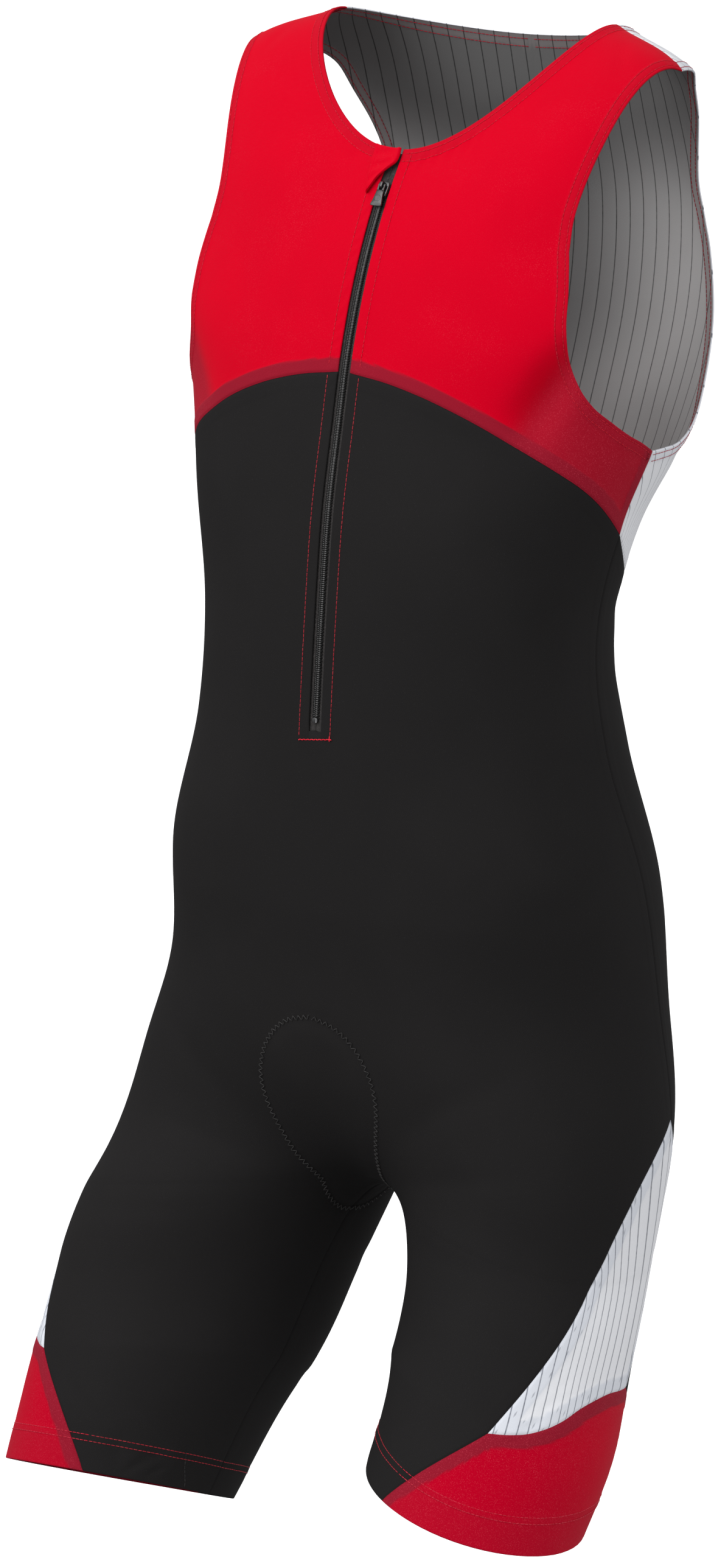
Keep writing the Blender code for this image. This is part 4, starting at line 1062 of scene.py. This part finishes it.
# ---- materials ----
def add_node(tree, kind, inputs, **settings):
    """A new node, with its settings, and its inputs linked to sockets or set to values."""
    node = tree.nodes.new(kind)
    for key, value in settings.items():
        setattr(node, key, value)
    for key, value in inputs.items():
        if isinstance(value, bpy.types.NodeSocket):
            tree.links.new(value, node.inputs[key])
        else:
            node.inputs[key].default_value = value
    return node


def calculated(tree, operation, *values):
    return add_node(tree, "ShaderNodeMath", dict(enumerate(values)), operation=operation).outputs[0]


def opaque(colour):
    return (*colour, 1) if isinstance(colour, tuple) else colour


class Finish:
    """A node tree being built for one material."""

    def __init__(self, name, roughness, specular, **uniform):
        self.material = bpy.data.materials.new(name)
        self.material.use_nodes = True
        self.tree = self.material.node_tree
        self.shader = self.tree.nodes["Principled BSDF"]
        self.shader.inputs["Roughness"].default_value = roughness
        self.shader.inputs["Specular IOR Level"].default_value = specular
        for key, value in uniform.items():
            self.shader.inputs[key.replace("_", " ")].default_value = opaque(value)

    def add(self, kind, inputs, output=0, **settings):
        return add_node(self.tree, kind, inputs, **settings).outputs[output]

    def fact(self, label):
        return self.add("ShaderNodeAttribute", {}, "Fac", attribute_name=label)

    def sum(self, operation, *values):
        return calculated(self.tree, operation, *values)

    def times(self, a, b):
        return self.sum("MULTIPLY", a, b)

    def mix(self, share, a, b, blend="MIX"):
        inputs = {0: share, 6: opaque(a), 7: opaque(b)}
        return self.add("ShaderNodeMix", inputs, 2, data_type="RGBA", blend_type=blend)

    def noise(self, scale, detail=2.0):
        place = self.add("ShaderNodeTexCoord", {}, "Object")
        inputs = {"Vector": place, "Scale": scale, "Detail": detail, "Roughness": 0.6}
        return self.add("ShaderNodeTexNoise", inputs, "Fac")

    def ramped(self, value, low, high):
        inputs = {"Value": value, "From Min": low, "From Max": high}
        return self.add("ShaderNodeMapRange", inputs, interpolation_type="SMOOTHSTEP")

    def patches(self, scale, detail, low, high, a, b):
        """Two shades in soft patches."""
        return self.mix(self.ramped(self.noise(scale, detail), low, high), a, b)

    def off_centre(self, value):
        """How far each stripe of a measure is from its own middle."""
        return self.sum("ABSOLUTE", self.sum("SUBTRACT", self.sum("FRACT", value), 0.5))

    def wave(self, value, pitch):
        return self.sum("SINE", self.times(value, 2 * pi / pitch))

    def knit(self, depth, pitch=0.0011):
        """Fine ribs along and courses across the cloth, with an uneven yarn, as a bump."""
        weave = self.times(self.wave(self.fact("round"), pitch), self.wave(self.fact("drop"), pitch * 0.8))
        self.bump(self.sum("MULTIPLY_ADD", self.noise(1400.0, 1.0), 2.2, weave), depth)

    def bump(self, height, depth, strength=0.5):
        inputs = {"Height": height, "Distance": depth, "Strength": strength}
        self.tree.links.new(self.add("ShaderNodeBump", inputs), self.shader.inputs["Normal"])

    def paint(self, colour):
        self.tree.links.new(colour, self.shader.inputs["Base Color"])
        return self.material


def red_knit(name, base, dull, painted_glints, sides=0.75):
    f = Finish(name, 0.60, 0.08, Specular_Tint=(1.0, 0.03, 0.08), Sheen_Weight=0.04, Sheen_Roughness=0.4,
               Sheen_Tint=(1.0, 0.06, 0.12))
    colour = f.patches(9.0, 3.0, 0.35, 0.7, base, tuple(c * 0.95 for c in base))
    # Painted shade: under the arms, where the side turns from the light, the colour is mixed towards the
    # duller red, with more of the painted glints below.
    beyond = f.sum("MULTIPLY_ADD", f.fact("drop"), 0.76, f.sum("ABSOLUTE", f.fact("round")))
    side = f.ramped(beyond, 0.286, 0.312)
    for share in (f.times(side, sides), f.fact("band"), f.times(f.fact("hem"), 0.22)):
        colour = f.mix(share, colour, dull)
    # Painted sheen: fine pale pink flecks stand in for the knit's glints, in patches and more in the side
    # zone.
    glint_flecks = f.ramped(f.noise(1900.0, 1.0), 0.56, 0.74)
    patch = f.times(f.ramped(f.noise(16.0), 0.45, 0.68), 0.12)
    amount = f.times(glint_flecks, f.sum("ADD", patch, f.sum("MULTIPLY_ADD", side, 0.20, 0.03)))
    colour = f.mix(f.times(amount, painted_glints), colour, (0.85, 0.10, 0.15))
    f.knit(0.00006)
    return f.paint(colour)


def black_knit(name):
    f = Finish(name, 0.75, 0.05, Sheen_Weight=0.004, Sheen_Roughness=0.35)
    colour = f.patches(7.0, 3.0, 0.35, 0.7, (0.0145, 0.0137, 0.0139), (0.0165, 0.0155, 0.0157))
    fleck = f.ramped(f.noise(1500.0, 1.0), 0.66, 0.80)
    colour = f.mix(f.times(fleck, 0.30), colour, (0.04, 0.04, 0.045))
    f.knit(0.00005)
    return f.paint(colour)


def striped_knit(name, ground, line, dull, strength, shown_through, shaded=None, width=1.0):
    """Pinstripes along the panel, at one pitch in their own measure."""
    f = Finish(name, 0.60, 0.10, Sheen_Weight=0.03)
    colour = f.patches(11.0, 3.0, 0.35, 0.7, ground, tuple(c * 0.97 for c in ground))
    if shaded:
        # Painted shade: the lining is greyer towards the shoulders and the centre back, where less light
        # gets in.
        colour = f.mix(f.ramped(f.fact("drop"), 0.18, 0.06), colour, shaded)
        centre = f.ramped(f.sum("ABSOLUTE", f.fact("round")), 0.37, 0.49)
        colour = f.mix(centre, colour, (0.30, 0.30, 0.30), "MULTIPLY")
    colour = f.mix(f.times(f.fact("band"), shown_through), colour, dull)
    colour = f.mix(f.times(f.fact("hem"), 0.5), colour, dull)
    place = f.sum("DIVIDE", f.fact("stripe"), STRIPE_PITCH)
    thread = f.ramped(f.off_centre(place), 0.050 * width, 0.022 * width)
    uneven = f.sum("MULTIPLY_ADD", f.noise(420.0, 1.0), 0.5, strength - 0.25)
    colour = f.mix(f.times(thread, uneven), colour, line, "MULTIPLY")
    # The turned allowance carries its own stripes, which show through as short dashes.
    between = f.sum("MULTIPLY_ADD", f.fact("drop"), 12.0, place)
    ghost = f.ramped(f.off_centre(between), 0.100, 0.060)
    along_it = f.sum("FRACT", f.sum("MULTIPLY_ADD", f.fact("drop"), 60.0, f.times(place, 0.9)))
    dash = f.times(f.times(ghost, f.ramped(along_it, 0.19, 0.14)), f.fact("band"))
    colour = f.mix(f.times(dash, 0.42), colour, line, "MULTIPLY")
    f.knit(0.00005)
    return f.paint(colour)


def twill(name):
    f = Finish(name, 0.75, 0.25)
    place = {"Vector": f.add("ShaderNodeTexCoord", {}, "Object")}
    x, z = (f.add("ShaderNodeSeparateXYZ", place, axis) for axis in "XZ")
    ribs = f.wave(f.sum("MULTIPLY_ADD", f.sum("ABSOLUTE", x), 1.4, z), 0.0009)
    colour = f.mix(f.ramped(ribs, -1, 1), (0.024, 0.022, 0.022), (0.062, 0.057, 0.056))
    f.bump(ribs, 0.00012, 0.8)
    return f.paint(f.patches(900.0, 2.0, 0.55, 0.8, colour, (0.11, 0.10, 0.10)))


def thread_finish(name, dark, light, roughness=0.45):
    f = Finish(name, roughness, 0.15, Sheen_Weight=0.02)
    f.bump(f.noise(5000.0, 1.0), 0.00005, 0.6)
    return f.paint(f.patches(700.0, 2.0, 0.35, 0.65, dark, light))


def coil_plastic(name):
    f = Finish(name, 0.38, 0.5)
    f.bump(f.noise(2500.0, 1.0), 0.00003, 0.4)
    return f.paint(f.patches(500.0, 2.0, 0.4, 0.65, (0.085, 0.084, 0.084), (0.13, 0.13, 0.13)))


def lacquer(name, light):
    """Dark glossy paint on cast metal, in two shades in soft patches; made bright, it is a painted glint.
    """
    f = Finish(name, 0.26, 0.5, Metallic=0.35, Coat_Weight=0.6, Coat_Roughness=0.15)
    dark, pale = (tuple(light * c for c in shade) for shade in ((0.030, 0.030, 0.032),
                                                               (0.075, 0.075, 0.078)))
    f.bump(f.noise(900.0, 3.0), 0.00005, 0.3)
    return f.paint(f.patches(350.0, 3.0, 0.4, 0.7, dark, pale))


def backdrop_finish():
    f = Finish("backdrop", 0.9, 0.0, Emission_Color=(1, 1, 1), Emission_Strength=0.75)
    return f.paint(f.mix(f.noise(0.7, 1.0), (0.86, 0.86, 0.86), (0.88, 0.88, 0.88)))


# ---- build ----
RED = red_knit("red_knit", (0.64, 0.0004, 0.0150), (0.30, 0.0100, 0.0250), 1.0)
RED_INSIDE = red_knit("red_knit_inside", (0.25, 0.004, 0.014), (0.14, 0.006, 0.013), 0.4)
# Painted shade: the cuffs' red is a darker copy of the red knit, for the lower light on the legs.
CUFF_RED_SHADED = red_knit("cuff_knit", (0.50, 0.0006, 0.0170), (0.28, 0.0100, 0.0250), 1.0, 0.0)
BLACK, BLACK_INSIDE = black_knit("black_knit"), black_knit("black_knit_inside")
WHITE, STRIPE_GREY, ALLOWANCE_GREY = (0.86, 0.87, 0.91), (0.15, 0.16, 0.19), (0.70, 0.73, 0.80)
PALE = striped_knit("white_pinstripe_knit", WHITE, STRIPE_GREY, ALLOWANCE_GREY, 0.75, 0.8)
PALE_LEG = striped_knit("white_thigh_knit", WHITE, STRIPE_GREY, ALLOWANCE_GREY, 0.75, 0.8, width=1.6)
# Painted shade: the lining's grey ground is a darker copy of the white pinstripe knit.
PALE_INSIDE_SHADED = striped_knit("white_pinstripe_inside_painted_shade", (0.62, 0.62, 0.62), (0.18, 0.18, 0.18),
                           (0.22, 0.19, 0.19), 0.85, 0.5, (0.13, 0.13, 0.13))
TAPE, COIL = twill("tape_twill"), coil_plastic("coil_plastic")
# The bright copy of the lacquer is a painted highlight, for the glint on the stop's ridge.
LACQUER, GLINT_PAINT = lacquer("lacquered_metal", 0.4), lacquer("painted_glint_metal", 7.0)
# The cords' and threads' near-black is partly painted shade, for the gaps and grooves about the coil's
# turns.
CORD_AND_SHADE = thread_finish("coil_cord", (0.004, 0.004, 0.004), (0.009, 0.009, 0.009), 0.7)
RED_THREAD = thread_finish("red_thread", (0.36, 0.012, 0.028), (0.50, 0.040, 0.055))
CLOTH_THREAD = thread_finish("cloth_red_thread", (0.50, 0.002, 0.014), (0.62, 0.016, 0.040))
YOKE_THREAD = thread_finish("yoke_thread", (0.30, 0.004, 0.018), (0.44, 0.016, 0.034))
BRIGHT_THREAD = thread_finish("bright_red_thread", (0.62, 0.006, 0.025), (0.75, 0.030, 0.050))
CUFF_THREAD = thread_finish("cuff_thread", (0.50, 0.008, 0.028), (0.66, 0.040, 0.075))
TACK_THREAD = thread_finish("dark_red_thread", (0.20, 0.006, 0.018), (0.34, 0.012, 0.030))
BLACK_THREAD = thread_finish("black_thread", (0.030, 0.029, 0.029), (0.060, 0.058, 0.058))

parts = {}
for side, label in enumerate(("left", "right")):
    parts["front_yoke_" + label] = [yoke_half(side, True)]
    parts["thigh_panel_" + label] = [outer_panel(side, False)]
    parts["cuff_" + label] = [outer_panel(side, True)]
parts["back_yoke"] = [yoke_half(side, False) for side in (0, 1)]
parts["front_body"] = [body_half(side, True) for side in (0, 1)]
parts["back_body"] = [body_half(side, False) for side in (0, 1)]

# Panel: finish, lining, slot, flat width and length in metres, flat area in square metres.
CUTS = {
    "front_yoke": (RED, RED_INSIDE, "red_knit", (0.19, 0.31), 0.033),
    "back_yoke": (PALE, PALE_INSIDE_SHADED, "white_pinstripe_knit", (0.42, 0.36), 0.110),
    "front_body": (BLACK, BLACK_INSIDE, "black_knit", (0.50, 0.80), 0.290),
    "back_body": (BLACK, BLACK_INSIDE, "black_knit", (0.46, 0.68), 0.240),
    "thigh_panel": (PALE_LEG, PALE_INSIDE_SHADED, "white_pinstripe_knit", (0.16, 0.24), 0.018),
    "cuff": (CUFF_RED_SHADED, RED_INSIDE, "red_knit", (0.24, 0.13), 0.020),
}
# Rows between which the two halves of a panel meet on the centre line.
JOINED = {
    "back_yoke": (NECK_ROWS, NECK_ROWS + FRONT_ROWS + UNDER_ROWS),
    "front_body": (SLIT_ROW, CROTCH_ROW),
    "back_body": (0, CROTCH_ROW),
}

for name, halves in parts.items():
    finish, lining, material_slot, flat, area = CUTS[name.removesuffix("_left").removesuffix("_right")]
    shared = None
    if name in JOINED:
        low, high = JOINED[name]
        shared = (halves[0]["down"] >= low) & (halves[0]["down"] <= high)
    piece = trim(shell(name + "_cloth", halves, shared, (finish, lining)), material_slot, name)


TAIL, TAIL_POINTS = 8, 9               # degrees before the inseam, and points that give the slope


def to_inseam(row):
    """Carries a leg's hem row straight on to the inseam over its tail."""
    row = row[(row[:, 0] > TAIL) & (row[:, 0] < 180 - TAIL)]
    slope = (row[TAIL_POINTS, 1] - row[0, 1]) / (row[TAIL_POINTS, 0] - row[0, 0])
    seam = 0.0 if row[0, 0] < 90 else 180.0
    return np.vstack([[seam, row[0, 1] + slope * (seam - row[0, 0])], row])


def sew_hems(title, names, rows, finish):
    """Double rows along the open edges of some panels, outside and in."""
    pairs = []
    for name, half in ((name, half) for name in names for half in parts[name]):
        for line, beside in half["hems"]:
            for distance in rows:
                row = inset(half["side"], line, beside, distance * MM)
                row = to_inseam(row) if "body" in name else row
                pairs += run_stitches(half["side"], row, half["edges"])
                pairs += run_stitches(half["side"], row, half["edges"], inner=True)
    sewn(title, pairs, finish, "red_knit")


# Places where the wearer's right leg's turned hem is closed: degrees, ring height.
HEM_JOIN = [(12.0, 0.9635), (11.0, 0.9720), (8.5, 0.9840)]


def sew_joins():
    """A thin line of thread where each leg's turned hem is closed: on one in front, on one behind."""
    pairs = run_stitches(1, np.array(HEM_JOIN), parts["front_body"][1]["edges"])
    behind = np.array([(180 - deg, height) for deg, height in HEM_JOIN])
    pairs += run_stitches(0, behind, parts["back_body"][0]["edges"])
    sewn("hem_join_stitches", pairs, BLACK_THREAD, "black_knit", 0.00020)


ZIP_FOOT, FOOT_RISE = 0.4415, 0.13     # ring height of the stitches across the zip's foot, their rise
BESIDE_ZIP = ZIP_HALF + ZIP_ROW * MM
YOKE_ZIP, BODY_ZIP = (0.006, 0.197), (0.202, ZIP_FOOT)     # ring heights of the rows beside the zip


def sew_zip(title, low, high, finish):
    """The two long rows of stitches beside the zip, on the yokes or on the body below."""
    pairs = []
    for side, label in enumerate(("left", "right")):
        half = parts["front_yoke_" + label][0] if high < ARCH else parts["front_body"][side]
        foot = high if high < ARCH else high - FOOT_RISE * BESIDE_ZIP * (1, -1)[side]
        heights = np.linspace(low, foot, 120)
        row = np.column_stack([across_angle(BESIDE_ZIP, heights), heights])
        pairs += run_stitches(side, row, half["edges"])
    sewn(title, pairs, finish, "red_knit")


def sew_foot():
    """The thick twisted row across the zip's foot, which rises a little to the wearer's left, and
    the knot at its end."""
    x = np.linspace(-BESIDE_ZIP, BESIDE_ZIP, 17)
    row = across_front(x, ZIP_FOOT - FOOT_RISE * x + 0.00025 * (-1) ** np.arange(17), 0.0005)
    knot = across_front(BESIDE_ZIP + np.array([-.0014, .0016, 0, 0]),
                        ZIP_FOOT - FOOT_RISE * BESIDE_ZIP + np.array([0, 0, -.0024, .0014]), 0.0006)
    pairs = [*zip(row[:-1], row[1:]), *zip(knot[::2], knot[1::2])]
    sewn("zip_foot_stitches", pairs, BRIGHT_THREAD, "red_knit", 0.00040)


def sew_pad():
    """Zigzag stitches round the seat pad, in thread of the cloth's own colour."""
    pairs = []
    for (side, front), line in PAD_LINES.items():
        edges = parts["front_body" if front else "back_body"][side]["edges"]
        pairs += zigzag_stitches(side, line, edges, 0.0032, 0.0021, 0.0009)
    sewn("pad_stitches", pairs, BLACK_THREAD, "black_knit", 0.00030, 4)


def bar_tacks():
    """Dense zigzags where the seams under the arms take strain."""
    row = np.linspace((85.6, 0.2545), (86.8, 0.2590), 12)
    pairs = []
    for side, label in enumerate(("left", "right")):
        pairs += zigzag_stitches(side, row, parts["front_yoke_" + label][0]["edges"], 0.0030, 0.0006)
    sewn("bar_tacks", pairs, TACK_THREAD, "red_knit", 0.00022)


sew_hems("hem_stitches", ["front_yoke_left", "front_yoke_right"], HEM_ROWS, CLOTH_THREAD)
sew_hems("back_hem_stitches", ["back_yoke"], HEM_ROWS, YOKE_THREAD)
sew_hems("leg_hem_stitches", ["front_body", "back_body"], LEG_ROWS, RED_THREAD)
sew_hems("cuff_stitches", ["cuff_left", "cuff_right"], LEG_ROWS, CUFF_THREAD)
sew_joins()
sew_zip("zip_yoke_stitches", *YOKE_ZIP, CLOTH_THREAD)
sew_zip("zip_box_stitches", *BODY_ZIP, RED_THREAD)
sew_foot()
sew_pad()
bar_tacks()
trim(tape("zip_tape_left_cloth", 1, TAPE), "zip_tape", "zip_tape_left")
trim(tape("zip_tape_right_cloth", -1, TAPE), "zip_tape", "zip_tape_right")
trim(coil(COIL), "zip_coil", "zip_teeth")
trim(coil_cords(CORD_AND_SHADE), "zip_tape")
trim(slider(LACQUER), "zip_lacquer", "zip_slider")
trim(stop("zip_stop_staple", -2.1, 2.1, 1.7, -0.8, 0.45, LACQUER, 0.2, 0.25), "zip_lacquer", "zip_stop")
# The ridge's bright metal is a painted glint.
trim(stop("zip_stop_painted_glint", 0.9, 1.5, 1.4, 0.3, 0.72, GLINT_PAINT, 0.1), "zip_lacquer")
trim(garage(RED), "red_knit", "zip_garage")
trim(pull(LACQUER), "zip_lacquer", "zip_pull", body="pull_tab")


# ---- stage, lights and camera ----
FLOOR, ROUND_COUNT = -1.30, 72
# The floor's profile: radius and height in metres, up into a round wall far behind.
SWEEP = [(40.0, FLOOR), (52.0, FLOOR + 2.0), (58.0, FLOOR + 8.0), (60.0, FLOOR + 18.0), (60.0, 60.0)]


def stage():
    """A plain pale floor that sweeps up into a wall all round, seen by the camera alone."""
    turn = np.linspace(0, 2 * pi, ROUND_COUNT, endpoint=False)
    points = [(radius * cos(a), radius * sin(a), z) for radius, z in SWEEP for a in turn]
    faces = [list(range(ROUND_COUNT))]
    for ring in range(len(SWEEP) - 1):
        faces += belt(ring * ROUND_COUNT, (ring + 1) * ROUND_COUNT, ROUND_COUNT)
    floor = mesh_object("floor", points, faces, backdrop_finish(), smooth=False)
    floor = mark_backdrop(floor) or bpy.data.objects["floor"]
    floor.visible_diffuse = floor.visible_glossy = floor.visible_shadow = False


def heading(azimuth, elevation):
    """The direction of a light, in degrees; azimuth 0 is in front of the suit."""
    a, e = radians(azimuth), radians(elevation)
    return Vector((sin(a) * cos(e), -cos(a) * cos(e), sin(e)))


def lamp(name, azimuth, elevation, distance, size, power):
    """A square soft light aimed at the middle of the suit."""
    way = heading(azimuth, elevation)
    light = bpy.data.lights.new(name, "AREA")
    light.shape, light.size, light.energy = "SQUARE", size, power
    obj = placed(bpy.data.objects.new(name, light))
    obj.location = Vector((0, 0, -0.45)) + way * distance
    obj.rotation_euler = (-way).to_track_quat("-Z", "Y").to_euler()


# Light from each side of the studio: azimuth, elevation, sharpness and strength.
SKY = [(-20, 32, 2.0, 1.00), (95, 5, 2.0, 0.72), (180, 35, 1.5, 0.35)]
SKY_BASE = 0.14


def lights():
    """A soft studio sky, brighter towards a few sides, and one gentle lamp for modelling."""
    world = bpy.data.worlds.new("studio")
    world.use_nodes = True
    tree = world.node_tree
    way = add_node(tree, "ShaderNodeTexCoord", {}).outputs["Generated"]
    total = SKY_BASE
    for azimuth, elevation, sharpness, strength in SKY:
        inputs = {0: way, 1: heading(azimuth, elevation)}
        value = add_node(tree, "ShaderNodeVectorMath", inputs, operation="DOT_PRODUCT").outputs["Value"]
        value = calculated(tree, "MULTIPLY_ADD", value, 0.5, 0.5)
        value = calculated(tree, "POWER", value, sharpness * 2)
        total = calculated(tree, "ADD", calculated(tree, "MULTIPLY", value, strength), total)
    tree.links.new(total, tree.nodes["Background"].inputs["Strength"])
    tree.nodes["Background"].inputs["Color"].default_value = (1, 1, 1, 1)
    bpy.context.scene.world = world
    lamp("key", -20, 32, 3.2, 2.2, 50)
    bpy.context.scene.view_settings.view_transform = "Standard"


TURN, ROLL, REACH = radians(35), radians(3.4), 3.2
AIM = Vector((0, 0, -0.49))
SHIFT_LEFT, SHIFT_UP = 0.0400, 0.0085


def camera():
    """The photograph's view: from the front, a little to the wearer's left, rolled slightly."""
    start = Vector((REACH * sin(TURN), -REACH * cos(TURN), 0.03))
    ahead = (AIM - start).normalized()
    right = ahead.cross(Vector((0, 0, 1))).normalized()
    up = right.cross(ahead)
    image_right = right * cos(ROLL) + up * sin(ROLL)
    image_up = up * cos(ROLL) - right * sin(ROLL)
    lens = bpy.data.cameras.new("camera")
    lens.lens, lens.clip_end = 117, 200
    obj = placed(bpy.data.objects.new("camera", lens))
    turned = Matrix((image_right, image_up, -ahead)).transposed().to_4x4()
    turned.translation = start - image_right * SHIFT_LEFT + image_up * SHIFT_UP
    obj.matrix_world = turned
    bpy.context.scene.camera = obj


stage()
lights()
camera()

bpy.context.view_layer.update()
